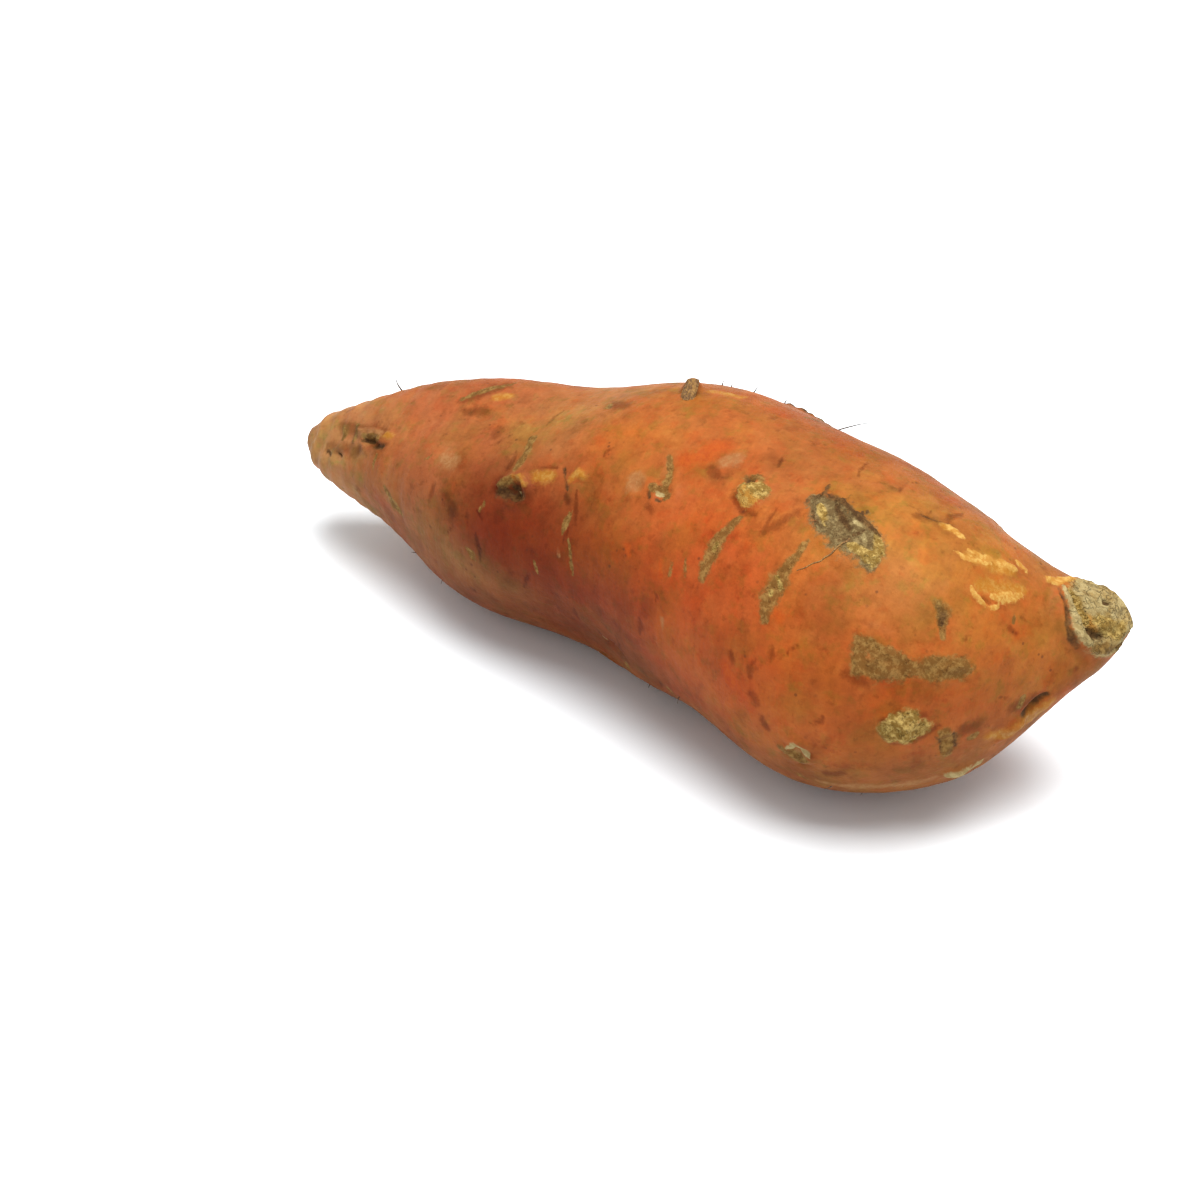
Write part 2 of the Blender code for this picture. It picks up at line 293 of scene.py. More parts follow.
@dataclass(frozen=True)
class Spot:
    """A place on the skin with its reach along and across, in mm and degrees."""

    along: float
    around: float
    reach_along: float
    reach_across: float
    turn: float = 0.0

    def distance(self, root: RootForm, points: Array) -> Array:
        """Distance from the spot's middle, where one is the end of its reach.

        The offset is measured along the spot, across it and, more loosely, outwards, each
        divided by its reach, and the three are added as squares.

        Args:
            root: the form that carries the spot.
            points: places on the root.

        Returns:
            One distance for each point.
        """
        place = one_place(self.along, self.around)
        forward, sideways, outward = (part[0] for part in root.directions(*place))
        angle = math.radians(self.turn)
        first = (forward * math.cos(angle) + sideways * math.sin(angle)) / (self.reach_along * MM)
        second = (sideways * math.cos(angle) - forward * math.sin(angle)) / (self.reach_across * MM)
        third = outward / (2.0 * max(self.reach_along, self.reach_across) * MM)
        offset = points - root.surface(*place)[0]
        return np.sqrt((offset @ first) ** 2 + (offset @ second) ** 2 + (offset @ third) ** 2)


@dataclass(frozen=True)
class Mark(Spot):
    """A spot that raises the skin or, below zero, lowers it, in mm. An eye's is its depth."""

    rise: float = 0.0


@dataclass(frozen=True)
class Tone(Spot):
    """A spot that shifts the skin's broad colour."""

    colour: Colour = (0.0, 0.0, 0.0)
    weight: float = 3.0


@dataclass(frozen=True)
class Stroke:
    """A stain drawn on the skin through points, each with its half width.

    The stroke may also raise the skin and roughen it, both in mm.
    """

    stain: Stain
    points: tuple[tuple[float, float, float], ...]
    rise: float = 0.0
    rough: float = 0.0
    margin: float = 2.2

    def distance(self, root: RootForm, points: Array) -> Array:
        """Distance from the stroke's line as a share of its half width there.

        Each leg runs straight between two points of the stroke. A place is measured from the
        nearest point of a leg and divided by the half width there, and the least one counts.
        Places well outside the sphere round the whole stroke are left at a far distance.

        Args:
            root: the form that carries the stroke.
            points: places on the root.

        Returns:
            One distance for each point.
        """
        table = np.array(self.points)
        corners = root.surface(table[:, 0] * MM, np.radians(table[:, 1]))
        widths = table[:, 2] * MM
        middle = corners.mean(axis=0)
        sphere = np.linalg.norm(corners - middle, axis=1).max() + self.margin * widths.max()
        near = np.flatnonzero(np.linalg.norm(points - middle, axis=1) < sphere)
        place = points[near]
        least = np.linalg.norm(place - corners[0], axis=1) / widths[0]
        for start, end, first, last in zip(corners, corners[1:], widths, widths[1:]):
            leg = end - start
            share = np.clip((place - start) @ leg / (leg @ leg), 0.0, 1.0)
            away = np.linalg.norm(place - start - share[:, None] * leg, axis=1)
            least = np.minimum(least, away / (first + (last - first) * share))
        result = np.full(len(points), FAR)
        result[near] = least
        return result


def marks(*rows: tuple[float, ...]) -> tuple[Mark, ...]:
    """Make a mark from each row: along, around, reach along, reach across, turn and rise."""
    return tuple(Mark(*row) for row in rows)


def strokes(
    stain: Stain, rise: float, rough: float, *rows: tuple[float, ...]
) -> tuple[Stroke, ...]:
    """Make the strokes of one stain that share their rise and their roughness.

    Args:
        stain: what they do to the colour.
        rise: how far they raise the skin in mm.
        rough: how uneven they make it in mm.
        rows: one for each stroke. It gives three numbers for each of its points: the distance
            along the root in mm, the angle round it in degrees and the half width in mm.

    Returns:
        One stroke for each row.
    """
    parts = (tuple(zip(row[::3], row[1::3], row[2::3])) for row in rows)
    return tuple(Stroke(stain, points, rise, rough) for points in parts)


# The marks of the solid
SWELLINGS = marks(
    (60, 20, 24, 18, 0, 1.6), (118, 335, 26, 20, 0, 2), (160, 20, 22, 22, 0, 1.5),
    (128, 168, 20, 14, 0, 0.5), (40, 250, 16, 12, 0, 0.9),
)
WARTS = marks(
    (173.9, 178, 4.2, 4, 0, 1.5), (133, 111, 2.9, 3.1, 0, 1.6), (101.8, 76, 2.1, 2.6, 0, 2.4),
    (180.4, 217, 3.6, 2.2, 20, 1.1), (188.4, 207, 4.6, 1.5, -14, 1), (88, 136, 2.6, 2, 30, 0.5),
    (21, 128, 3.6, 2, 10, 0.7), (92, 14, 3.2, 3.6, 0, 1.3), (63, 292, 3, 2.6, 0, 0.9),
    (146, 318, 3.4, 3, 0, 1.2),
)
EYES = marks(
    (73.7, 139, 3.6, 3, 20, 1.7), (25.6, 138, 3.6, 2.4, 15, 1.3), (114, 129, 3.2, 2.6, 0, 1.2),
    (106, 130, 2.4, 2.2, 0, 0.7), (157.6, 194, 3.4, 3.2, 0, 1.3), (15.5, 158, 2.6, 2.2, 0, 0.8),
    (180, 191, 2.6, 3.2, 0, 0.5), (54.2, 100, 3.4, 2.2, -20, 0.6), (45, 40, 3.4, 2.8, 0, 1.2),
    (84, 350, 3.6, 2.8, 10, 1.4), (123, 22, 3.6, 3, 0, 1.5), (152, 8, 3.2, 3, 0, 1.1),
    (178, 30, 3.2, 2.8, 0, 1.2), (34, 315, 3, 2.6, 0, 1), (112, 300, 3.6, 3, 0, 1.2),
    (171, 285, 3.4, 3, 0, 1.1), (94, 228, 3, 2.6, 0, 0.9),
)
CREASES = marks(
    (70.6, 124, 1.6, 6.5, 6, -0.6), (111.8, 119, 1.2, 4.2, 0, -0.6),
    (133.2, 135, 1.8, 6.4, 4, -0.6), (148.2, 134, 2, 9, 6, -0.7), (169, 83.5, 3.6, 1.3, 4, -0.9),
    (177.4, 134, 1.3, 3.2, 0, -0.8), (192.1, 202, 3.4, 1.5, -16, -1.3),
    (100, 206, 4.2, 1.5, 0, -0.9), (84, 192, 1.4, 6, 30, -0.4), (41, 168, 1.5, 7, 0, -0.5),
    (30, 100, 1.5, 8, 0, -0.4), (59, 330, 1.6, 8, 0, -0.7), (103, 355, 1.6, 9, 8, -0.7),
    (137, 345, 1.6, 9, -6, -0.8), (165, 340, 1.6, 8, 0, -0.7), (133, 255, 1.6, 8, 0, -0.6),
)
SCARS = marks(
    (154.2, 109.5, 10.6, 5.4, 30, 0.5), (167.8, 148, 5.6, 5.6, 0, 0.35),
    (177.2, 152, 6, 3.6, 10, 0.35), (182.5, 97, 4.6, 2, 0, -0.3), (184.9, 117, 5, 2.8, 0, -0.3),
    (118, 40, 8, 4.6, 30, 0.45), (72, 270, 9, 5, 0, 0.3),
)

# Stains on the skin, some of them painted shade in hollows and round raised parts. Each group
# gives its stain, its rise and its roughness, and then its rows, from the root tip to the stem end.
STROKES = (
    # SHADE: a brown tint. Most rows are faint brown stains. Some are painted shade: the ring at the
    # root stub's foot (101 to 102 mm), the rings round the wart (171 to 179 mm) and the soft ring
    # round the deep eye (69 to 77 mm).
    *strokes(
        Stain.SHADE, 0, 0,
        (14, 122, 1.6, 19, 127, 2, 24, 127, 2.2, 29, 131, 1.8),
        (11, 150, 1.3, 16, 149, 1.7, 22, 147, 1.6), (26, 141, 1.8, 30.6, 141, 2.2),
        (46, 92, 1.4, 50, 82, 1.6, 53, 72, 1.4), (48.6, 99, 1.4, 51.2, 97, 1.9, 53.6, 95, 1.3),
        (60.6, 106, 1.4, 61.6, 110, 1.5), (57, 151, 1.9, 58.6, 156, 2.1),
        (69.4, 139, 2.2, 73, 141.4, 3, 76.8, 140.4, 2.2), (87, 138, 0.8, 88, 140.5, 0.8),
        (87, 89, 2, 91.6, 92, 1.5), (101.4, 80, 1.8, 102.4, 78, 1.8),
        (111.4, 135.5, 0.9, 113.2, 137, 0.7), (121, 112, 1.3, 123.2, 113.5, 1.2),
        (143.8, 110, 1.3, 142.8, 116.5, 1.7, 140.8, 121, 1.3), (143.2, 166, 1, 144, 168.5, 0.9),
        (149, 176, 1.3, 150, 179, 1.1), (151.6, 185, 0.9, 152.6, 189, 0.9),
        (162, 205, 1.3, 164.6, 203.6, 1), (164.6, 156.5, 1.6, 167.4, 158.4, 1.4),
        (165, 88, 1.4, 169.4, 87, 2, 173, 85.6, 1.4),
        (170.6, 173.4, 0.9, 173.6, 171.4, 1, 176.8, 172.8, 0.9),
        (172.6, 185.2, 0.9, 176.2, 184, 1, 178.6, 179.4, 0.8), (182, 186, 1.6, 184.6, 189, 1.8),
        (188.2, 137.6, 0.8, 189.2, 140.4, 0.7), (189, 190, 1.6, 190.6, 194, 2, 193, 198, 1.8),
        (198.6, 186, 0.7, 199.4, 188.4, 0.7),
    ),
    *strokes(
        Stain.SHADE, -0.2, 0,
        (77.6, 127.5, 0.5, 79.6, 126.6, 0.5, 82.4, 127.4, 0.5),
        (199.4, 92, 0.5, 200.4, 99, 0.5, 202, 103, 0.5),
        # Painted shade on the lower side of the stem-end dome.
        (202.6, 124, 0.6, 203.2, 134, 0.8, 203.4, 146, 0.9), (204.6, 124, 0.5, 205.4, 130, 0.4),
    ),
    *strokes(
        Stain.SHADE, -0.3, 0,
        (129.6, 117, 0.9, 132.8, 119.6, 0.9, 136.4, 118, 0.7), (173, 178.2, 0.5, 174, 179.8, 0.5),
    ),
    *strokes(
        Stain.SHADE, -0.4, 0,
        (183.2, 119, 0.7, 184.4, 121, 0.6),
    ),
    *strokes(
        Stain.OCHRE, 0, 0,
        (53, 84, 1.2, 57, 82, 1.2), (78, 131.5, 1.5, 80.4, 132, 1.9, 82, 131.5, 1.3),
        (106, 76.5, 1.4, 109, 75, 1.8, 112, 73, 1.2), (171.6, 88, 0.9, 174.4, 89, 1.1),
        (179, 100, 1.6, 183, 100.4, 2, 187, 98.6, 1.4),
        (182, 113, 1.5, 186, 112, 2, 189.4, 108, 1.3),
        (200.6, 130, 1.2, 201.4, 140, 1.4, 202.6, 146, 1.1), (132, 356, 2.2, 138, 4, 2.4),
    ),
    *strokes(
        Stain.OCHRE, 0.9, 0.7,
        (72.6, 133.6, 1, 74.6, 133, 1, 75.8, 136, 0.8),
    ),
    *strokes(
        Stain.OCHRE, 0.4, 0.3,
        (86.6, 131.5, 0.8, 89, 129, 1.1, 90.8, 130.5, 0.8),
    ),
    *strokes(
        Stain.OCHRE, 0.3, 0.2,
        (30, 130, 1.2, 32, 131, 1),
    ),
    *strokes(
        Stain.OCHRE, 0.2, 0.3,
        (185, 201, 1.1, 188.6, 208, 1.6, 191, 212.4, 1.7, 194.4, 212, 1.3),
    ),
    *strokes(
        Stain.TAN, 0, 0,
        (52.2, 133, 2.2, 54.2, 134, 2.2), (87.6, 158.5, 0.5, 88, 163, 0.5),
        (103.4, 127, 1.7, 105.2, 130, 2.2), (122.8, 107, 1.8, 124.4, 104.5, 2.1),
        (125, 170, 0.7, 125.4, 173.5, 0.6),
        (164.4, 148.6, 0.5, 167, 147.8, 0.6, 169.8, 149.6, 0.5),
        (165.4, 152.4, 0.5, 168.4, 151.8, 0.6, 171.4, 153.6, 0.5),
        (168.2, 155.4, 0.5, 171.4, 155.8, 0.6),
        (160, 213, 0.8, 166, 215, 1.4, 172.4, 216.4, 1.5, 178, 216.6, 0.8),
    ),
    *strokes(
        Stain.TAN, 0.4, 0.6,
        (20.6, 129, 1, 24, 131, 1.3, 27.4, 132.4, 1),
    ),
    *strokes(
        Stain.TAN, 0.2, 0.4,
        (150.6, 9, 1.1, 153.4, 11.4, 1.3), (170, 284, 1.4, 172.4, 286.4, 1.3),
    ),
    *strokes(
        Stain.TAN, 0.1, 0.2,
        (187, 204.6, 0.9, 190, 210.4, 1.1, 192.6, 212.6, 1),
    ),
    *strokes(
        Stain.TAN, 0.1, 0.4,
        (62.2, 290.6, 1.6, 64, 293.4, 1.6),
    ),
    *strokes(
        Stain.TAN, 0, 0.5,
        (156.2, 196, 1.6, 158.8, 198, 1.7),
    ),
    *strokes(
        Stain.RED, 0, 0,
        (114, 114.5, 2.2, 117, 109, 3.3, 119.6, 103, 2.6), (110.6, 151, 0.9, 111.8, 153, 0.7),
        (122, 149.5, 0.7, 122.4, 154, 0.6), (149.8, 145, 1.3, 151, 146.5, 1.2),
        (142.6, 172, 1.9, 144.4, 176, 2.2), (65, 16, 1.6, 67, 22, 2.2, 66, 30, 1.4),
        (144, 290, 1.6, 147, 296, 1.8),
    ),
    *strokes(
        Stain.OLIVE, 0, 0,
        (36, 166, 0.8, 38, 172, 1.2, 41, 177, 0.8), (45.4, 91, 0.7, 50, 80, 0.9, 54, 70, 0.7),
        (124.6, 148.5, 0.7, 125, 152, 0.7), (171.2, 174.6, 0.8, 170.6, 178.4, 1, 171.8, 183, 1),
    ),
    *strokes(
        Stain.OLIVE, 0.7, 0.5,
        (81.8, 353.6, 0.9, 84, 356, 1, 86.8, 355, 0.9),
    ),
    *strokes(
        Stain.OLIVE, 0.7, 0.6,
        (69.8, 138, 1, 71.8, 134.6, 1.1),
    ),
    *strokes(
        Stain.OLIVE, 0.5, 0.4,
        (32.4, 319, 0.8, 35, 321, 0.8),
    ),
    *strokes(
        Stain.OLIVE, 0.4, 0.5,
        (22.2, 133, 0.8, 24.6, 135, 0.9, 27.6, 135.6, 0.9),
        (111, 128, 1.1, 113, 127, 1, 115.4, 129, 1.1),
    ),
    *strokes(
        Stain.OLIVE, 0.3, 0.4,
        (14.6, 124, 0.7, 15.6, 131, 0.8, 15.2, 138, 0.6),
        (18.6, 122, 0.7, 19.6, 130, 0.8, 19, 139, 0.7),
    ),
    *strokes(
        Stain.OLIVE, 0.3, 0.5,
        (179.6, 184, 1.4, 179.8, 190, 2.2, 179.6, 197, 1.6),
    ),
    *strokes(
        Stain.OLIVE, 0.2, 0.4,
        (129.6, 108.4, 1.3, 131.6, 106.2, 1.1, 133.6, 107, 0.9),
    ),
    *strokes(
        Stain.OLIVE, 0.1, 0.35,
        (134, 122, 0.8, 133.2, 130, 1.3, 132.5, 136, 2.1, 132.4, 142, 1.9, 132.4, 147.5, 1.2),
        (149.4, 117.5, 0.8, 148.4, 127, 1.3, 147.8, 134.5, 2.5, 147.5, 143, 1.9,
         147.8, 149.5, 1.1),
    ),
    *strokes(
        Stain.OLIVE, 0.1, 0.4,
        (154.6, 195, 0.9, 156.6, 198.6, 1.2, 159.6, 197.6, 1),
    ),
    *strokes(
        Stain.OLIVE, 0, 0.2,
        (71.4, 110, 0.9, 72.4, 119, 1.3, 72.2, 129, 1.2),
        (175.6, 125.6, 0.8, 177.6, 129.2, 1.6, 177.8, 134.6, 0.9, 177.8, 140.4, 0.7),
        (182.6, 193.4, 0.6, 184, 194.6, 0.6),
    ),
    *strokes(
        Stain.OLIVE, 0, 0.3,
        (176, 155.2, 1.3, 181.6, 156.4, 1.2), (190, 193, 1.1, 190.8, 187, 0.9),
        (59.2, 316, 0.8, 58.8, 328, 1.5, 59.2, 342, 0.8),
        (102, 342, 0.9, 103.2, 354, 1.7, 104.2, 366, 0.8),
        (137.6, 332, 0.9, 137, 344, 1.6, 136.2, 356, 0.9),
        (165.2, 328, 0.8, 165, 341, 1.4, 165.4, 352, 0.8),
        (133.2, 244, 0.8, 133, 256, 1.4, 133.4, 268, 0.7),
    ),
    *strokes(
        Stain.OLIVE, 0, 0.35,
        (164.8, 144.4, 1.7, 165.4, 149, 2.2, 165.8, 154.6, 1.6),
        (166.6, 145.6, 1.8, 169.6, 148.4, 2.3, 172.4, 150.4, 2),
        (166.8, 152, 2.3, 170, 153.6, 2.5, 172.6, 154.6, 1.9),
        (170.4, 151, 2.6, 174, 152.4, 2.5, 178, 152.8, 2.3, 181.8, 154.2, 2.1),
        (66, 268, 2.6, 72, 271, 4.2, 79, 270, 2.4),
    ),
    *strokes(
        Stain.OLIVE, -0.1, 0.3,
        (202.4, 168, 0.9, 204.4, 180, 1.1, 206, 194, 1, 207, 220, 0.9),
    ),
    *strokes(
        Stain.OLIVE, -0.2, 0.2,
        (110.2, 116, 0.8, 112.6, 121, 0.9, 113.4, 126, 1),
    ),
    *strokes(
        Stain.SCAR, 0.1, 0.3,
        (146.4, 103, 2.5, 150.4, 105, 4.4, 155, 108, 5.2, 159.4, 111.5, 4.4, 161.6, 115.5, 2.6),
    ),
    *strokes(
        Stain.SCAR, 0.1, 0.45,
        (113, 36, 2.6, 118, 40, 4.2, 123, 44, 2.8),
    ),
    *strokes(
        Stain.WART, 0, 0,
        (132.8, 134.5, 0.5, 132.2, 137, 0.5), (147.2, 133, 0.6, 148.6, 135.5, 0.6),
        (147, 138, 0.5, 147.6, 140, 0.5),
    ),
    *strokes(
        Stain.WART, 0.7, 0.5,
        (42.6, 41.6, 0.8, 43.6, 45, 1, 46, 46, 0.9),
        (120.6, 25, 0.9, 123, 27.6, 1, 125.8, 26.4, 0.9),
    ),
    *strokes(
        Stain.WART, 0.4, 0.5,
        (131, 112.4, 2, 133.2, 113.2, 2.6, 134.8, 110.2, 2),
    ),
    *strokes(
        Stain.WART, 0.4, 0.8,
        (91, 12, 1.7, 93.4, 15.6, 1.8), (145, 316, 1.6, 147.4, 319.6, 1.7),
    ),
    *strokes(
        Stain.WART, 0.4, 0.9,
        (172.6, 174.4, 2, 175, 173.4, 2), (174.6, 177.4, 2.2, 176.8, 178.8, 1.9),
        (171.4, 177.6, 1.7, 172.8, 180.4, 2.1, 174.8, 182.4, 1.9),
    ),
    *strokes(
        Stain.WART, 0.1, 0.3,
        (147.4, 104.6, 0.7, 149, 106.8, 0.9, 150.6, 109.2, 0.7),
        (156.8, 113, 0.9, 159.4, 114.4, 1.6, 162.2, 115, 1.7),
    ),
    *strokes(
        Stain.WART, 0, 0.2,
        (203, 132, 1.8, 204.8, 140, 2.2, 206.2, 150, 1.8),
    ),
    *strokes(
        Stain.WART, 0, 0.3,
        (161.2, 106.6, 0.9, 162.6, 111, 1.2),
    ),
    *strokes(
        Stain.WART, -0.3, 0.3,
        (197.6, 100, 0.9, 198.6, 112, 1, 199.6, 124, 0.9, 200.4, 136, 0.8),
    ),
    *strokes(
        Stain.CREAM, 0.4, 0.4,
        (180.8, 115.2, 0.6, 181.6, 118.8, 1, 183, 122.6, 0.9),
        (184.4, 123.8, 0.6, 185.6, 121, 0.9),
    ),
    *strokes(
        Stain.CREAM, 0.3, 0.3,
        (178, 96.8, 0.5, 181.4, 98.2, 0.8, 184.6, 97.8, 1.3, 187.4, 96.2, 0.9),
        (184.6, 117.6, 0.9, 187.2, 116.4, 1.4, 189.4, 112.2, 0.8),
        (193, 91.6, 1, 194.6, 88, 1.6, 196.4, 79, 1.1),
    ),
    *strokes(
        Stain.CREAM, 0.2, 0.2,
        (131.2, 114.4, 1.2, 133, 115.4, 1.6, 134.8, 113.8, 1.3),
        (173.2, 87.6, 0.8, 175, 89.4, 1, 176.2, 91.4, 0.8), (187.6, 89.6, 0.7, 189.2, 92, 0.9),
        (158, 356, 0.6, 160.4, 354, 1, 163.4, 355, 0.6),
        (52, 352, 0.6, 54, 349, 0.9, 56.4, 349.6, 0.6),
    ),
    *strokes(
        Stain.CREAM, 0.2, 0.3,
        (175.8, 100.6, 0.5, 178.8, 102, 0.9, 182.2, 101.4, 0.8, 184, 100.4, 0.5),
    ),
    *strokes(
        Stain.PALE, 0.7, 0.2,
        (74, 139.6, 0.5, 74.8, 140.2, 0.5),
        (196, 96, 0.7, 197, 107, 1, 197.8, 121, 1, 198.8, 136, 1.2, 200, 149, 1.2, 201, 158, 0.8),
    ),
    *strokes(
        Stain.PALE, 0.4, 0.5,
        (155.4, 194.4, 0.5, 157, 192.2, 1, 158.8, 193.4, 1.1, 160, 195.6, 0.5),
    ),
    *strokes(
        Stain.PALE, 0.3, 0.2,
        (97, 203.5, 0.6, 99.2, 202, 0.6), (112.6, 129, 0.6, 113.8, 128.6, 0.5),
        (199.8, 104, 1.4, 201.4, 116, 2, 203, 106, 1.6),
    ),
    *strokes(
        Stain.PALE, 0.3, 0.4,
        (155.2, 103, 0.6, 157, 104.2, 0.7), (158.6, 108.6, 0.7, 160, 111, 0.7),
    ),
    *strokes(
        Stain.PALE, 0.3, 0.5,
        (179.4, 215.6, 1.1, 181.2, 217.6, 1.4, 183.4, 219, 0.8),
    ),
    # DARK: near-black pits, slits and lines. The sunk rows lie in eyes, grooves and hollows, where
    # their darkness is partly painted shade.
    *strokes(
        Stain.DARK, 0, 0,
        (52.2, 169, 0.5, 52.6, 171.5, 0.5),
        (158.6, 104.4, 0.5, 157.2, 108, 0.7, 154.4, 112.4, 0.6),
    ),
    *strokes(
        Stain.DARK, 0.4, 0.6,
        (144.4, 103.5, 0.8, 146.6, 98.4, 1, 150.2, 98.6, 1, 154.6, 100.2, 0.9, 158.4, 102.4, 0.8,
         161, 105.4, 0.6),
    ),
    *strokes(
        Stain.DARK, 0.3, 0.3,
        (146.6, 98, 0.6, 145.6, 93.6, 0.45), (150.4, 98.4, 0.6, 150.6, 94, 0.45),
        (154.4, 100, 0.6, 156, 96.6, 0.45),
    ),
    *strokes(
        Stain.DARK, 0.3, 0.4,
        (112, 41, 0.7, 116, 46, 0.8, 121, 48, 0.7),
    ),
    *strokes(
        Stain.DARK, 0, 0.6,
        (150.2, 101.8, 0.7, 152.6, 104, 1.3, 154.8, 106.4, 1),
        (146.6, 107, 0.4, 148.8, 110, 0.5, 152, 111.8, 0.4),
    ),
    *strokes(
        Stain.DARK, -0.2, 0.2,
        (89.4, 12.4, 0.7, 91, 19, 0.7),
    ),
    *strokes(
        Stain.DARK, -0.3, 0,
        (11.4, 158, 0.6, 13, 160, 0.5), (15, 155, 0.5, 16, 158.5, 0.6),
        (180.8, 186.6, 0.5, 181, 191, 0.6, 180.6, 195, 0.5),
    ),
    *strokes(
        Stain.DARK, -0.3, 0.2,
        (176, 127, 0.6, 177.6, 129.2, 1.1, 177.6, 133.6, 0.7),
    ),
    *strokes(
        Stain.DARK, -0.4, 0,
        (84.2, 127.5, 0.5, 85.4, 132, 0.5, 87, 135, 0.6),
        (98.6, 204.5, 0.6, 101, 203, 0.6, 103.4, 201.6, 0.5),
        (110.4, 130.6, 0.7, 111, 131.6, 0.6), (178.6, 186, 0.5, 179, 191, 0.6, 179, 196, 0.5),
        # Painted shade in the groove outside the stem-end cork's lip.
        (195, 96, 0.5, 195.8, 107, 0.6, 196.6, 120, 0.6, 197.4, 134, 0.7, 198.4, 148, 0.7,
         199.8, 160, 0.6), (202.8, 70, 0.5, 203.4, 73, 0.4), (203.2, 103, 0.5, 204, 105, 0.4),
        (33.4, 314, 0.8, 34.8, 316.4, 0.7), (93.4, 227.2, 0.7, 94.8, 229, 0.7),
    ),
    *strokes(
        Stain.DARK, -0.5, 0,
        (22, 137, 0.6, 24.6, 138.5, 0.7), (72.4, 137.4, 0.6, 74, 137, 0.5),
        (190.4, 203.6, 0.9, 192.4, 201.4, 1.1, 194.2, 199.6, 0.7), (201.2, 87, 0.5, 202, 89, 0.5),
        (44.4, 39, 0.9, 46.2, 41.4, 0.8), (177.4, 29, 0.8, 178.8, 31.2, 0.8),
        (111, 299, 0.9, 113.2, 301.2, 0.8),
    ),
    *strokes(
        Stain.DARK, -0.6, 0,
        # The second row paints the shade under the stem-end dome.
        (113, 131.4, 0.7, 115, 130.6, 0.6), (200.8, 146, 0.7, 202, 151, 1.1, 203.6, 158, 0.9),
        (83, 349, 0.9, 85.2, 351.4, 0.9), (122, 21, 1, 124.2, 23.4, 0.9),
    ),
    *strokes(
        Stain.DARK, -0.7, 0,
        (157.8, 202, 0.8, 159.4, 201.6, 0.7), (166, 86, 0.7, 169.4, 85.2, 1.2, 172.4, 84.6, 0.9),
    ),
    *strokes(
        Stain.DARK, -0.8, 0,
        (27.2, 141.5, 0.9, 30.4, 141, 0.9),
    ),
    *strokes(
        Stain.DARK, -1, 0,
        (69.8, 141, 1.2, 72.6, 142.6, 1.6, 75.6, 141.2, 1.2),
    ),
    *strokes(
        Stain.DARK, -1.2, 0,
        (129.8, 108.8, 1, 131.4, 108.8, 1.1),
    ),
)

# Broad skin tones: bell curves round spots, each with a colour and a weight. The dark tones low on
# the front of the thin lobe, 64 to 104 mm along and 166 to 206 degrees round, are partly painted
# shade. They lay the shade of the flank that faces away from the lamp, and the shadow of a piece
# that stood beside it, into the colour.
COPPER: Colour = (0.470, 0.130, 0.032)
TONES_AND_PAINTED_SHADE = (
    Tone(9.9, 117.0, 14.0, 14.0, 0.0, (0.600, 0.240, 0.092), 9.0),
    Tone(11.0, 185.0, 14.0, 12.0, 0.0, (0.430, 0.220, 0.085), 6.0),
    Tone(30.0, 106.0, 14.0, 20.0, 0.0, (0.480, 0.150, 0.052), 5.0),
    Tone(48.0, 110.0, 15.0, 22.0, 0.0, (0.500, 0.128, 0.040), 5.0),
    Tone(78.0, 100.0, 14.0, 18.0, 0.0, (0.480, 0.185, 0.054), 5.0),
    Tone(102.0, 108.0, 20.0, 16.0, 0.0, (0.510, 0.132, 0.024), 5.0),
    Tone(44.0, 165.0, 18.0, 12.0, 0.0, (0.380, 0.120, 0.040), 5.0),
    # Painted shade: the darkest tone, on the front of the thin lobe.
    Tone(76.0, 166.0, 18.0, 13.0, 0.0, (0.180, 0.010, 0.001), 14.0),
    Tone(100.0, 174.0, 16.0, 12.0, 0.0, (0.330, 0.056, 0.008), 8.0),
    Tone(60.0, 181.0, 17.0, 5.0, 0.0, (0.340, 0.140, 0.050), 9.0),
    Tone(64.0, 206.0, 30.0, 9.0, 0.0, (0.220, 0.052, 0.015), 9.0),
    Tone(104.0, 197.0, 24.0, 9.0, 0.0, (0.190, 0.042, 0.010), 8.0),
    Tone(134.0, 156.0, 20.0, 18.0, 0.0, (0.570, 0.092, 0.017), 6.0),
    Tone(136.0, 186.0, 18.0, 10.0, 0.0, (0.480, 0.095, 0.020), 5.0),
    Tone(150.0, 84.0, 18.0, 14.0, 0.0, (0.430, 0.125, 0.026), 5.0),
    Tone(172.0, 106.0, 20.0, 16.0, 0.0, (0.520, 0.172, 0.028), 5.0),
    Tone(186.0, 142.0, 14.0, 14.0, 0.0, (0.530, 0.145, 0.026), 5.0),
    Tone(156.0, 172.0, 22.0, 13.0, 0.0, (0.530, 0.118, 0.021), 5.0),
    Tone(176.0, 170.0, 16.0, 12.0, 0.0, (0.500, 0.105, 0.018), 5.0),
    Tone(168.0, 212.0, 30.0, 10.0, 0.0, (0.330, 0.108, 0.028), 7.0),
)


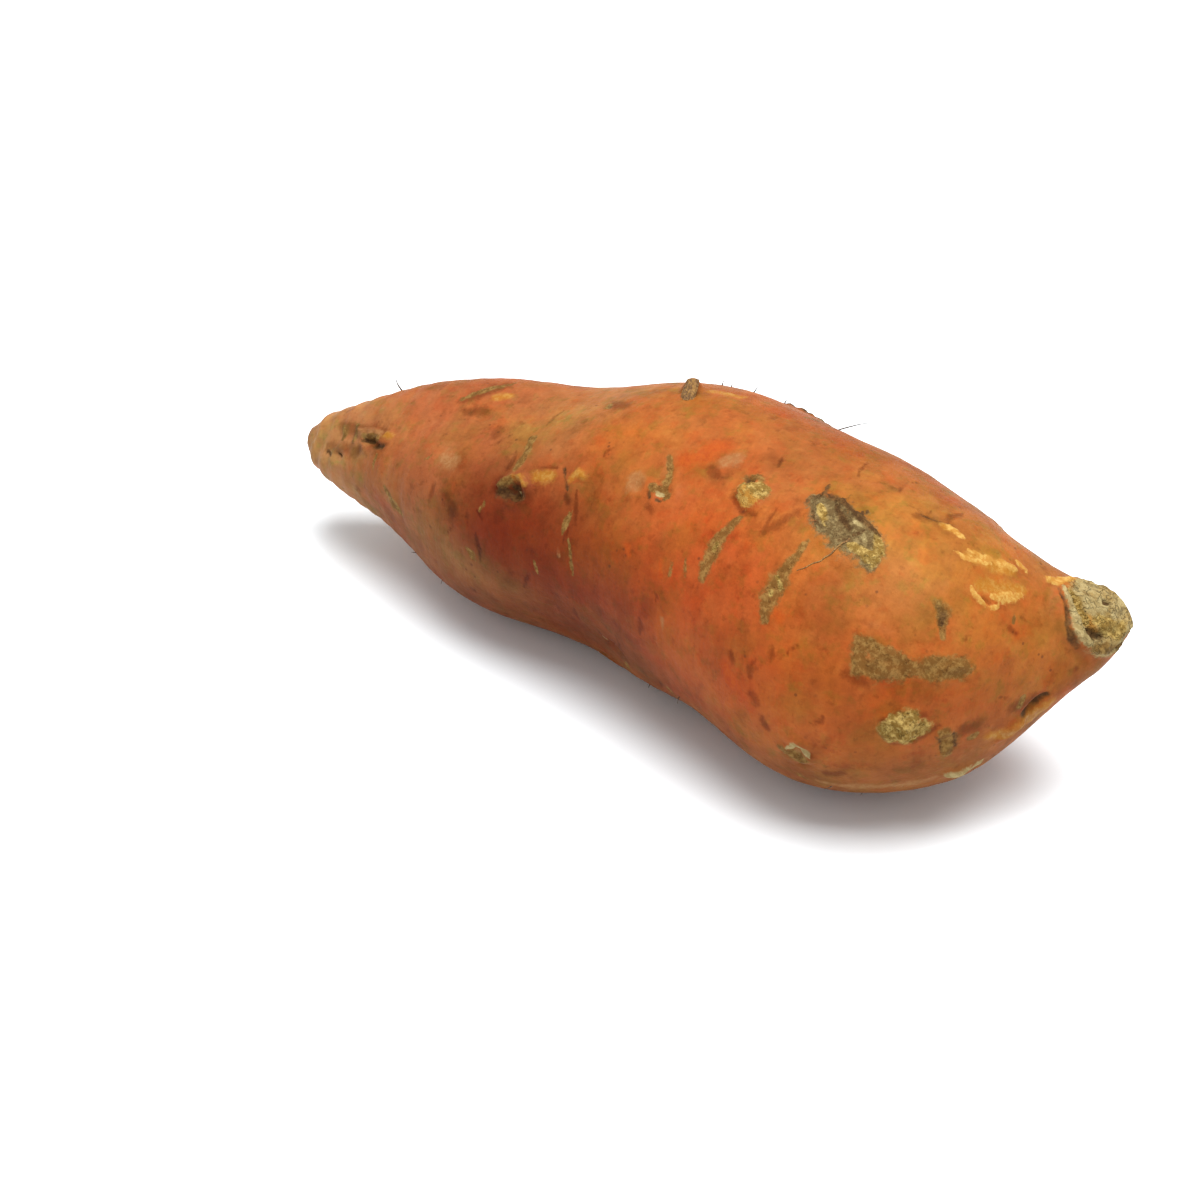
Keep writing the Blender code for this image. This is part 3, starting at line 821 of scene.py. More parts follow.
@dataclass
class RootSkin:
    """The whole skin as one closed surface, with its relief and its colour fields."""

    root: RootForm = field(default_factory=RootForm)
    rings: int = 362
    segments: int = 270
    cork_along: float = 202.5
    cork_around: float = 112.0
    cork_reach: float = 8.6 * MM
    cork_rise: float = 0.9 * MM
    lip_rise: float = 1.2 * MM
    lip_width: float = 1.3 * MM
    lip_around: float = 138.0
    lip_spread: float = 62.0
    bark_along: float = 202.0 * MM
    bark_lean: float = 5.4 * MM
    bark_around: float = 85.0
    wrinkle_step: float = 4.6 * MM
    wrinkle_rise: float = 0.35 * MM
    wrinkle_fade: float = 17.0 * MM
    wrinkle_start: float = 4.0 * MM
    wrinkle_wander: tuple[tuple[float, float, float], ...] = ((0.9, 2.0, 0.7), (0.5, 5.0, 0.0))
    wave_seed: int = 31
    wave_count: int = 14
    wave_rise: float = 0.30 * MM
    wave_turns: tuple[int, int] = (1, 6)
    wave_lengths: tuple[float, float] = (0.6, 4.5)
    stray_seed: int = 43
    stray_count: int = 130
    stray_kinds: tuple[Stain, ...] = (
        Stain.SHADE, Stain.SHADE, Stain.SHADE, Stain.SHADE, Stain.OLIVE, Stain.SHADE, Stain.OLIVE,
    )
    stray_rise: float = -0.06
    stray_rough: float = 0.08
    stray_end: float = 0.35
    stray_reach: tuple[float, float] = (16.0, 194.0)
    stroke_edge: float = 1.25
    stroke_soft: float = 0.7
    end_fade: float = 14.0 * MM
    groove_out: float = 2.4 * MM
    groove_in: float = 2.6 * MM
    groove_shares: tuple[float, float] = (0.5, 0.6)
    dome_soft: float = 2.0 * MM
    edge_bend: float = 0.2
    lip_bend: float = 0.8
    scar_bend: float = 0.15
    wart_fall: float = 1.4
    crease_fall: float = 1.3
    eye_lip: float = 0.38
    eye_lip_width: float = 0.42
    eye_hollow: float = 0.52
    scar_edge: float = 1.2
    scar_soft: float = 0.4
    lumps: tuple[tuple[float, LatticeNoise], ...] = (
        (0.16, LatticeNoise(11, 9.0 * MM, 2)), (0.035, LatticeNoise(12, 2.4 * MM, 2)),
    )
    edge_noise: LatticeNoise = LatticeNoise(8, 3.1 * MM, 2)
    rough_noise: LatticeNoise = LatticeNoise(5, 1.7 * MM, 2)
    crack_noise: LatticeNoise = LatticeNoise(13, 3.4 * MM)
    tip_noise: LatticeNoise = LatticeNoise(14, 2.2 * MM)
    crack_depth: float = 0.36
    crack_edge: float = 6.0
    tip_rough: float = 0.26
    tip_fade: float = 9.0 * MM
    nose_crowding: float = 1.6
    cork_crowding: float = 0.9
    cork_from: float = 190.0 * MM
    bend_reach: float = 0.62 * MM
    bends: tuple[LatticeNoise, ...] = tuple(LatticeNoise(seed, 4.6 * MM) for seed in (51, 52, 53))
    offset: Array = field(default_factory=lambda: np.zeros(3))

    def __post_init__(self) -> None:
        """Add seeded small stains to the drawn ones."""
        self.strokes = STROKES + self.stray_strokes()

    def stray_strokes(self) -> tuple[Stroke, ...]:
        """Draw small seeded stains all over, most of them short lines across the root.

        Returns:
            Strokes of three points, wide in the middle and narrow at both ends.
        """
        draw = np.random.default_rng(self.stray_seed)
        made = []
        for _ in range(self.stray_count):
            along, around = draw.uniform(*self.stray_reach), draw.uniform(0.0, 360.0)
            width, length = 0.5 + 0.7 * draw.random() ** 3, 2.0 + 6.0 * draw.random() ** 2
            skew, bow = draw.uniform(-1.2, 1.2), draw.uniform(-0.6, 0.6)
            line = (
                (along, around, self.stray_end),
                (along + skew + bow, around + length, width),
                (along + 2.0 * skew, around + 2.0 * length, self.stray_end),
            )
            kind = self.stray_kinds[draw.integers(len(self.stray_kinds))]
            made.append(Stroke(kind, line, self.stray_rise, self.stray_rough))
        return tuple(made)

    def cork_distance(self, points: Array) -> Array:
        """Distance of each point from the middle of the cork at the stem end."""
        middle = self.root.surface(*one_place(self.cork_along, self.cork_around))[0]
        return np.linalg.norm(points - middle, axis=1)

    def lip_share(self, around: Array) -> Array:
        """Share of the cork's lip that stands at an angle: a bell curve about its middle."""
        turn = (np.degrees(around) - self.lip_around + 180.0) % 360.0 - 180.0
        return np.exp(-((turn / self.lip_spread) ** 2))

    def cork_field(self, along: Array, around: Array) -> Array:
        """Field of the bare cork: zero at its edge, a ring that leans towards the lip's side."""
        edge = self.bark_along - self.bark_lean * np.cos(around - math.radians(self.bark_around))
        return (along - edge) / self.cork_reach

    def waves(self, along: Array, around: Array) -> Array:
        """Long soft waves: a seeded sum of sines of both directions, faded out at both ends.

        Args:
            along: distance from the root tip.
            around: angle round the root.

        Returns:
            The height at each place, in metres.
        """
        draw = np.random.default_rng(self.wave_seed)
        relief = np.zeros(len(along))
        for _ in range(self.wave_count):
            turns = draw.integers(*self.wave_turns)
            lengths = draw.uniform(*self.wave_lengths)
            phase = draw.uniform(0.0, FULL_TURN)
            angle = turns * around + FULL_TURN * lengths * along / self.root.length + phase
            relief += self.wave_rise * np.sin(angle) / math.sqrt(turns)
        start = soft_step(along / self.end_fade)
        end = soft_step((self.root.length - along) / self.end_fade)
        return relief * (start * end)

    def wrinkles(self, along: Array, around: Array) -> Array:
        """Wrinkles that ring the root tip: a wandering sine along it, faded along the root.

        Args:
            along: distance from the root tip.
            around: angle round the root.

        Returns:
            The height at each place, in metres.
        """
        wander = sines(around, self.wrinkle_wander)
        rings = self.wrinkle_rise * np.sin(FULL_TURN * along / self.wrinkle_step + wander)
        return rings * np.exp(-along / self.wrinkle_fade) * soft_step(along / self.wrinkle_start)

    def stem_end(self, points: Array, around: Array) -> Array:
        """Cork dome, its raised lip at the front, and the grooves on both sides of the lip.

        The dome is a plate with a soft edge. The lip and its grooves are bell curves of the
        distance from the cork's edge, as strong as the lip's share at each angle.

        Args:
            points: places on the smooth surface.
            around: their angles round the root.

        Returns:
            The height at each point, in metres.
        """
        past = self.cork_distance(points) - self.cork_reach
        dome = self.cork_rise * soft_step(-past / self.dome_soft)
        lip, groove, inner = (
            np.exp(-(((past - shift) / self.lip_width) ** 2))
            for shift in (0.0, self.groove_out, -self.groove_in)
        )
        lip = lip - self.groove_shares[0] * groove - self.groove_shares[1] * inner
        return dome + self.lip_share(around) * self.lip_rise * lip

    def marks(self, points: Array, fine: bool) -> Array:
        """Relief of all marks of the solid together.

        Swellings and creases are bell curves of the distance, a wart is a steeper one, an eye
        is a hollow bell inside a ring, and a scar is a plate with a soft edge. The fine relief
        bends the edges by noise.

        Args:
            points: places on the smooth surface.
            fine: whether to bend the edges.

        Returns:
            The height at each point.
        """
        bend = self.edge_noise.layered(points) if fine else np.zeros(len(points))
        relief = np.zeros(len(points))
        for mark in SWELLINGS:
            relief += mark.rise * np.exp(-(mark.distance(self.root, points) ** 2))
        for mark in WARTS:
            distance = mark.distance(self.root, points) * (1.0 + self.edge_bend * bend)
            relief += mark.rise * np.exp(-self.wart_fall * distance ** 3)
        for mark in EYES:
            distance = mark.distance(self.root, points) * (1.0 + self.edge_bend * bend)
            lip = np.exp(-(((distance - 1.0) / self.eye_lip_width) ** 2))
            lip = lip * (1.0 + self.lip_bend * bend)
            hollow = np.exp(-((distance / self.eye_hollow) ** 2))
            relief += mark.rise * (self.eye_lip * lip - hollow)
        for mark in CREASES:
            distance = mark.distance(self.root, points)
            relief += mark.rise * np.exp(-self.crease_fall * distance ** 2)
        for mark in SCARS:
            distance = mark.distance(self.root, points) * (1.0 + self.scar_bend * bend)
            relief += mark.rise * soft_step((self.scar_edge - distance) / self.scar_soft)
        return relief * MM

    def grain(self, along: Array, around: Array, points: Array) -> Array:
        """Fine unevenness: soft lumps all over, rough stains, cork cracks and a coarse root tip.

        Lumps are noise of two sizes. A stain is a plate with a soft edge, uneven by noise. The
        cracks run where noise passes through zero.

        Args:
            along: distance from the root tip.
            around: angle round the root.
            points: the same places on the smooth surface.

        Returns:
            The height at each place, in metres.
        """
        relief = np.zeros(len(points))
        for height, noise in self.lumps:
            relief += height * noise.layered(points)
        rough = self.rough_noise.layered(points)
        bent = self.bent(points)
        for stroke in self.strokes:
            if stroke.rise or stroke.rough:
                distance = stroke.distance(self.root, bent)
                inside = soft_step((self.stroke_edge - distance) / self.stroke_soft)
                relief += inside * (stroke.rise + stroke.rough * rough)
        cork = soft_step(self.cork_field(along, around) * self.crack_edge + 0.5)
        cracks = 1.0 - 2.0 * np.abs(self.crack_noise.layered(points))
        tip = self.tip_rough * np.exp(-along / self.tip_fade)
        relief += self.crack_depth * cork * cracks
        relief += tip * self.tip_noise.layered(points)
        return relief * MM

    def place(self, along: Array, around: Array, fine: bool = True) -> Array:
        """Points of the skin before it is set down: the smooth surface plus relief outwards.

        Args:
            along: distance from the root tip.
            around: angle round the root.
            fine: whether the fine relief is added.

        Returns:
            One point for each pair of values.
        """
        smooth = self.root.surface(along, around)
        outward = self.root.directions(along, around)[2]
        relief = self.marks(smooth, fine) + self.stem_end(smooth, around)
        relief += self.waves(along, around) + self.wrinkles(along, around)
        if fine:
            relief += self.grain(along, around, smooth)
        return smooth + outward * relief[:, None]

    def set_down(self) -> None:
        """Find how far the form moves to lie in the solid's box, by its relief without grain."""
        share, turn = np.meshgrid(np.linspace(0.0, 1.0, 160), np.linspace(0.0, FULL_TURN, 120))
        points = self.place(self.spacing(share.ravel()), turn.ravel(), fine=False)
        low, high = (np.array(corner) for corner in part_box(NODE))
        self.offset = (low + high) / 2.0 - (points.min(axis=0) + points.max(axis=0)) / 2.0
        self.offset[2] = -points[:, 2].min() - self.root.flat_depth

    def spacing(self, share: Array) -> Array:
        """Distance along the root for a share of its rings.

        Rings crowd towards both noses, as the square root of the distance to the end, and are
        denser over the cork.

        Args:
            share: which rings, from zero at the root tip to one at the stem end.

        Returns:
            Their distances from the root tip.
        """
        fine = (1.0 - np.cos(np.linspace(0.0, math.pi, 4000))) / 2.0 * self.root.length
        count = fine + self.nose_crowding * np.sqrt(self.root.root_nose * fine)
        left = self.root.length - fine
        count -= self.nose_crowding * np.sqrt(self.root.stem_nose * left)
        count += self.cork_crowding * np.maximum(fine - self.cork_from, 0.0)
        count = (count - count[0]) / (count[-1] - count[0])
        return np.interp(share, count, fine)

    def bent(self, points: Array) -> Array:
        """Shift places by layered noise, so that what is drawn on them gets an uneven edge.

        Args:
            points: places, one a row.

        Returns:
            The shifted places.
        """
        shift = np.stack([noise.layered(points) for noise in self.bends], axis=1)
        return points + self.bend_reach * shift

    def field_of(self, stain: Stain, points: Array) -> Array:
        """Field of a stain: one in the middle of its strokes, zero at their edges.

        Args:
            stain: the stain to read.
            points: places on the root.

        Returns:
            The highest value of the stain's strokes at each point.
        """
        total = np.full(len(points), -1.0)
        for stroke in self.strokes:
            if stroke.stain is stain:
                total = np.maximum(total, 1.0 - stroke.distance(self.root, points))
        return total

    def tone_and_painted_shade(self, points: Array) -> Array:
        """Broad skin colour with painted shade: the mean of copper and the tones, each by its bell
        curve's weight.

        Args:
            points: places on the root.

        Returns:
            One colour for each point.
        """
        total = np.ones(len(points))
        colour = np.tile(np.array(COPPER), (len(points), 1))
        for tone_and_painted_shade in TONES_AND_PAINTED_SHADE:
            near = tone_and_painted_shade.weight * np.exp(-(tone_and_painted_shade.distance(self.root, points) ** 2))
            total += near
            colour += near[:, None] * np.array(tone_and_painted_shade.colour)
        return colour / total[:, None]

    def mesh(self) -> bpy.types.Mesh:
        """Make the closed mesh: rings of points between two poles, with its map and its fields.

        Returns:
            The mesh, in its place in the solid's frame.
        """
        share = np.arange(1, self.rings) / self.rings
        along = np.repeat(self.spacing(share), self.segments)
        around = np.tile(np.arange(self.segments) * FULL_TURN / self.segments, self.rings - 1)
        along = np.concatenate([[0.0], along, [self.root.length]])
        around = np.concatenate([[0.0], around, [0.0]])
        points = self.place(along, around) + self.offset
        points[:, 2] = np.maximum(points[:, 2], 0.0)
        data = smooth_mesh("root_skin", points, closed_faces(self.rings - 1, self.segments))
        self.add_map(data)
        smooth = self.root.surface(along, around)
        bent = self.bent(smooth)
        for stain in Stain:
            self.store(data, stain.value, self.field_of(stain, bent))
        self.store(data, "stem_cork", self.cork_field(along, around))
        self.store(data, "from_tip", along / self.root.length)
        tone_and_painted_shade = data.attributes.new("tone_and_painted_shade", "FLOAT_COLOR", "POINT")
        rgba = np.concatenate([self.tone_and_painted_shade(smooth), np.ones((len(points), 1))], axis=1)
        tone_and_painted_shade.data.foreach_set("color", rgba.astype(np.float32).ravel())
        return data

    def add_map(self, data: bpy.types.Mesh) -> None:
        """Lay a map that runs along the root in one direction and round it in the other.

        Each corner's place is its ring's and its segment's share. At a pole, the fan's tip lies
        in the middle of its segment.

        Args:
            data: the mesh, with the faces that closed_faces gives.
        """
        ring = np.repeat(np.arange(self.rings - 2), self.segments)
        step = np.tile(np.arange(self.segments), self.rings - 2)
        place = np.stack([ring + 1, ring + 1, ring + 2, ring + 2], axis=1) / self.rings
        turn = np.stack([step, step + 1, step + 1, step], axis=1) / self.segments
        one = np.arange(self.segments)
        edge = np.full((self.segments, 3), 1.0 / self.rings)
        edge[:, 0] = 0.0
        start_turn = np.stack([one + 0.5, one + 1.0, one], axis=1) / self.segments
        end_turn = np.stack([one + 0.5, one, one + 1.0], axis=1) / self.segments
        across = np.concatenate([place.ravel(), edge.ravel(), 1.0 - edge.ravel()])
        above = np.concatenate([turn.ravel(), start_turn.ravel(), end_turn.ravel()])
        pairs = np.stack([across, above], axis=1).astype(np.float32)
        layer = data.uv_layers.new(name="OFBake")
        layer.uv.foreach_set("vector", pairs.ravel())

    @staticmethod
    def store(data: bpy.types.Mesh, name: str, values: Array) -> None:
        """Keep one number for each point of the mesh under a name."""
        attribute = data.attributes.new(name, "FLOAT", "POINT")
        attribute.data.foreach_set("value", np.clip(values, -1.0, 1.0).astype(np.float32))

    def build(self) -> bpy.types.Object:
        """Make the skin piece, which takes the solid's place.

        Returns:
            The piece's object.
        """
        self.set_down()
        skin = add_piece(self.mesh(), SkinFinish().material())
        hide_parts(NODE)
        return skin


def closed_faces(rings: int, segments: int) -> list[list[int]]:
    """Faces of a closed form: a start pole, rings of points and an end pole.

    Args:
        rings: how many rings lie between the poles.
        segments: how many points each ring has.

    Returns:
        First the four-sided faces, then the fan at the start and the fan at the end.
    """
    ring = np.repeat(np.arange(rings - 1), segments)
    step = np.tile(np.arange(segments), rings - 1)
    following = (step + 1) % segments
    here, there = 1 + ring * segments, 1 + (ring + 1) * segments
    quads = np.stack([here + step, here + following, there + following, there + step], axis=1)
    one = np.arange(segments)
    two = (one + 1) % segments
    last = 1 + rings * segments
    start = np.stack([np.zeros_like(one), 1 + two, 1 + one], axis=1)
    end = np.stack([np.full_like(one, last), last - segments + one, last - segments + two], axis=1)
    return quads.tolist() + start.tolist() + end.tolist()


def smooth_mesh(name: str, points: Array, faces: list[list[int]]) -> bpy.types.Mesh:
    """Make a mesh with smooth shading.

    Args:
        name: the mesh's name.
        points: its points, one a row.
        faces: the points of each face.

    Returns:
        The mesh.
    """
    data = bpy.data.meshes.new(name)
    data.from_pydata(points, [], faces)
    data.shade_smooth()
    return data


def add_piece(data: bpy.types.Mesh, material: bpy.types.Material) -> bpy.types.Object:
    """Link a piece to the scene under its mesh's name and let it ride on the root.

    Args:
        data: its mesh, already in place.
        material: its finish.

    Returns:
        The piece's object.
    """
    data.materials.append(material)
    piece = bpy.data.objects.new(data.name, data)
    bpy.context.collection.objects.link(piece)
    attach(piece, BODY)
    LOG.info("%s: %d faces", piece.name, len(data.polygons))
    return piece


def tube(path: Array, radius: Array, sides: int) -> tuple[Array, list[list[int]]]:
    """Carry a round profile along a path and close both ends with a point.

    Each ring stands square to the path's direction, in a frame made from that direction and
    the axis it follows least.

    Args:
        path: points along the middle.
        radius: the tube's radius at each of them.
        sides: how many points each ring has.

    Returns:
        The points and the faces, the first and last points being the closed ends.
    """
    forward = unit(np.gradient(path, axis=0))
    helper = np.eye(3)[np.argmin(np.abs(forward.mean(axis=0)))]
    side = unit(np.cross(helper, forward))
    top = np.cross(forward, side)
    angle = np.arange(sides) * FULL_TURN / sides
    rings = path[:, None] + radius[:, None, None] * (
        side[:, None] * np.cos(angle)[:, None] + top[:, None] * np.sin(angle)[:, None]
    )
    points = np.concatenate([path[:1], rings.reshape(-1, 3), path[-1:]])
    return points, closed_faces(len(path), sides)


@dataclass(frozen=True)
class Hair:
    """One hair root: its place in mm and degrees, its length and width in mm, and its lean."""

    along: float
    around: float
    length: float
    width: float
    lean_along: float = 0.0
    lean_across: float = 0.0
    curl: float = 0.3


@dataclass
class HairRoots:
    """The few hair roots and dry bristles left on the skin."""

    skin: RootSkin
    sides: int = 7
    steps: int = 14
    seed: int = 17
    scattered: int = 26
    sunk: float = 0.4
    thinning: float = 0.75
    floor_gap: float = 0.05 * MM
    curl_ways: tuple[float, float] = (0.8, 0.5)
    wave: float = 0.04
    wave_turns: float = 7.0
    along_range: tuple[float, float] = (12.0, 192.0)
    around_range: tuple[float, float] = (-150.0, 40.0)
    seen: tuple[Hair, ...] = (
        Hair(23.5, 68.0, 3.8, 0.46, -0.5, 0.1, 0.4),
        Hair(128.5, 48.0, 6.8, 0.36, 0.9, -0.3, 0.5),
        Hair(103.4, 58.0, 1.2, 0.42),
        Hair(104.8, 56.0, 1.0, 0.36),
        Hair(108.8, 53.0, 1.6, 0.36, 0.3, 0.0, 0.2),
        Hair(115.0, 50.0, 1.2, 0.40),
    )

    def hairs(self) -> list[Hair]:
        """List the drawn hairs, and more at seeded places behind and below.

        Returns:
            All hairs.
        """
        draw = np.random.default_rng(self.seed)
        more = []
        for _ in range(self.scattered):
            along, around = draw.uniform(*self.along_range), draw.uniform(*self.around_range)
            length, width = 0.8 + 3.4 * draw.random() ** 3, draw.uniform(0.16, 0.34)
            lean, curl = draw.uniform(-0.8, 0.8, 2), draw.uniform(-0.6, 0.6)
            more.append(Hair(along, around, length, width, lean[0], lean[1], curl))
        return list(self.seen) + more

    def path(self, hair: Hair) -> Array:
        """Middle line of a hair: out along its lean from just under the skin.

        It curls by the square of the way, and waves a little by a sine.

        Args:
            hair: the hair to lay.

        Returns:
            Points from its root to its end.
        """
        place = one_place(hair.along, hair.around)
        base = self.skin.place(*place)[0] + self.skin.offset
        forward, sideways, outward = (part[0] for part in self.skin.root.directions(*place))
        lean = unit(outward + hair.lean_along * forward + hair.lean_across * sideways)
        share = np.linspace(0.0, 1.0, self.steps)[:, None]
        reach = (hair.length + self.sunk) * MM * share - self.sunk * MM
        way = self.curl_ways[0] * forward + self.curl_ways[1] * sideways
        bend = hair.curl * hair.length * MM * share ** 2 * way
        sway = np.sin(self.wave_turns * share + hair.along) * sideways
        return base + reach * lean + bend + self.wave * hair.length * MM * share * sway

    def build(self) -> bpy.types.Object:
        """Make all hairs as one piece: a tube that thins towards its end for each.

        Returns:
            The piece's object.
        """
        points: list[Array] = []
        faces: list[list[int]] = []
        count = 0
        share = np.linspace(0.0, 1.0, self.steps)
        for hair in self.hairs():
            radius = hair.width * MM / 2.0 * (1.0 - self.thinning * share ** 1.5)
            made, sides = tube(self.path(hair), radius, self.sides)
            made[:, 2] = np.maximum(made[:, 2], self.floor_gap)
            points.append(made)
            faces.extend([[index + count for index in side] for side in sides])
            count += len(made)
        data = smooth_mesh("hair_roots", np.concatenate(points), faces)
        return add_piece(data, HairFinish().material())


@dataclass
class RootStrand:
    """A thin dead root that lies on the skin below the large scar."""

    skin: RootSkin
    along: tuple[float, ...] = (156.2, 154.5, 152.9, 150.2)
    around: tuple[float, ...] = (111.0, 118.5, 123.0, 128.5)
    width: float = 0.45 * MM
    wander: float = 0.12
    wander_turns: float = 23.0
    uneven: float = 0.15
    uneven_turns: float = 31.0
    thinning: float = 0.6
    gap: float = 0.05 * MM
    steps: int = 80
    sides: int = 8

    def build(self) -> bpy.types.Object:
        """Make the strand: a tube along a slightly wandering line just above the skin.

        Returns:
            The piece's object.
        """
        share = np.linspace(0.0, 1.0, self.steps)
        knots = np.linspace(0.0, 1.0, len(self.along))
        along = natural_spline(knots, np.array(self.along), share)
        along = along + self.wander * np.sin(self.wander_turns * share)
        around = natural_spline(knots, np.array(self.around), share)
        place = (along * MM, np.radians(around))
        outward = self.skin.root.directions(*place)[2]
        path = self.skin.place(*place) + self.skin.offset + self.gap * outward
        uneven = 1.0 + self.uneven * np.sin(self.uneven_turns * share)
        radius = self.width / 2.0 * (1.0 - self.thinning * share) * uneven
        data = smooth_mesh("root_strand", *tube(path, radius, self.sides))
        return add_piece(data, StubFinish().material())


@dataclass
class RootStub:
    """The short torn root that stands on top of the shoulder."""

    skin: RootSkin
    along: float = 103.6
    around: float = 85.0
    lean_back: float = 1.1
    lean_left: float = 0.10
    height: float = 4.6 * MM
    sunk: float = 1.2 * MM
    base: float = 1.8 * MM
    tip: float = 1.4 * MM
    waist: float = 0.72
    flatness: float = 0.8
    dip: float = 0.5 * MM
    rim: float = 0.14
    fibres: tuple[tuple[float, float, float], ...] = ((0.07, 9.0, 0.0), (0.04, 17.0, 1.0))
    rough: float = 0.22 * MM
    torn: float = 0.30 * MM
    rough_noise: LatticeNoise = LatticeNoise(21, 1.1 * MM)
    torn_noise: LatticeNoise = LatticeNoise(22, 1.3 * MM)
    rings: int = 48
    segments: int = 56

    def build(self) -> bpy.types.Object:
        """Make the stub.

        A turned profile narrows from its foot to a waist, rounds over at the torn end and dips
        in its middle. Fibres are ridges along it, and noise makes it uneven.

        Returns:
            The piece's object.
        """
        place = one_place(self.along, self.around)
        forward, sideways, outward = (part[0] for part in self.skin.root.directions(*place))
        axis = unit(outward - self.lean_back * sideways - self.lean_left * forward)
        side = unit(np.cross(axis, forward))
        front = np.cross(side, axis)
        foot = self.skin.root.surface(*place)[0] + self.skin.offset - self.sunk * axis
        share = np.arange(1, self.rings + 1) / (self.rings + 1)
        wall = np.clip(share / self.waist, 0.0, 1.0)
        over = np.clip((share - self.waist) / (1.0 - self.waist), 0.0, 1.0)
        radius = (self.base + (self.tip - self.base) * wall ** 0.6) * np.sqrt(1.0 - over ** 2)
        high = (1.0 - self.rim) * wall + self.rim * np.sin(math.pi / 2.0 * over) ** 0.8
        high = (self.height + self.sunk) * high - self.dip * soft_step(over) ** 3
        turn = np.arange(self.segments) * FULL_TURN / self.segments
        spread = (radius[:, None] * (1.0 + sines(turn, self.fibres)))[..., None]
        rings = foot + axis * high[:, None, None] + front * spread * np.cos(turn)[:, None]
        rings = rings + side * self.flatness * spread * np.sin(turn)[:, None]
        rings = rings.reshape(-1, 3)
        away = unit(rings - foot - axis * ((rings - foot) @ axis)[:, None])
        rough = self.rough_noise.layered(rings)[:, None]
        torn = self.torn_noise.layered(rings) * np.repeat(wall, self.segments)
        rings = rings + self.rough * away * rough + self.torn * axis * torn[:, None]
        top = rings[-self.segments:].mean(axis=0)
        points = np.concatenate([[foot], rings, [top]])
        data = smooth_mesh("root_stub", points, closed_faces(self.rings, self.segments))
        return add_piece(data, StubFinish().material())


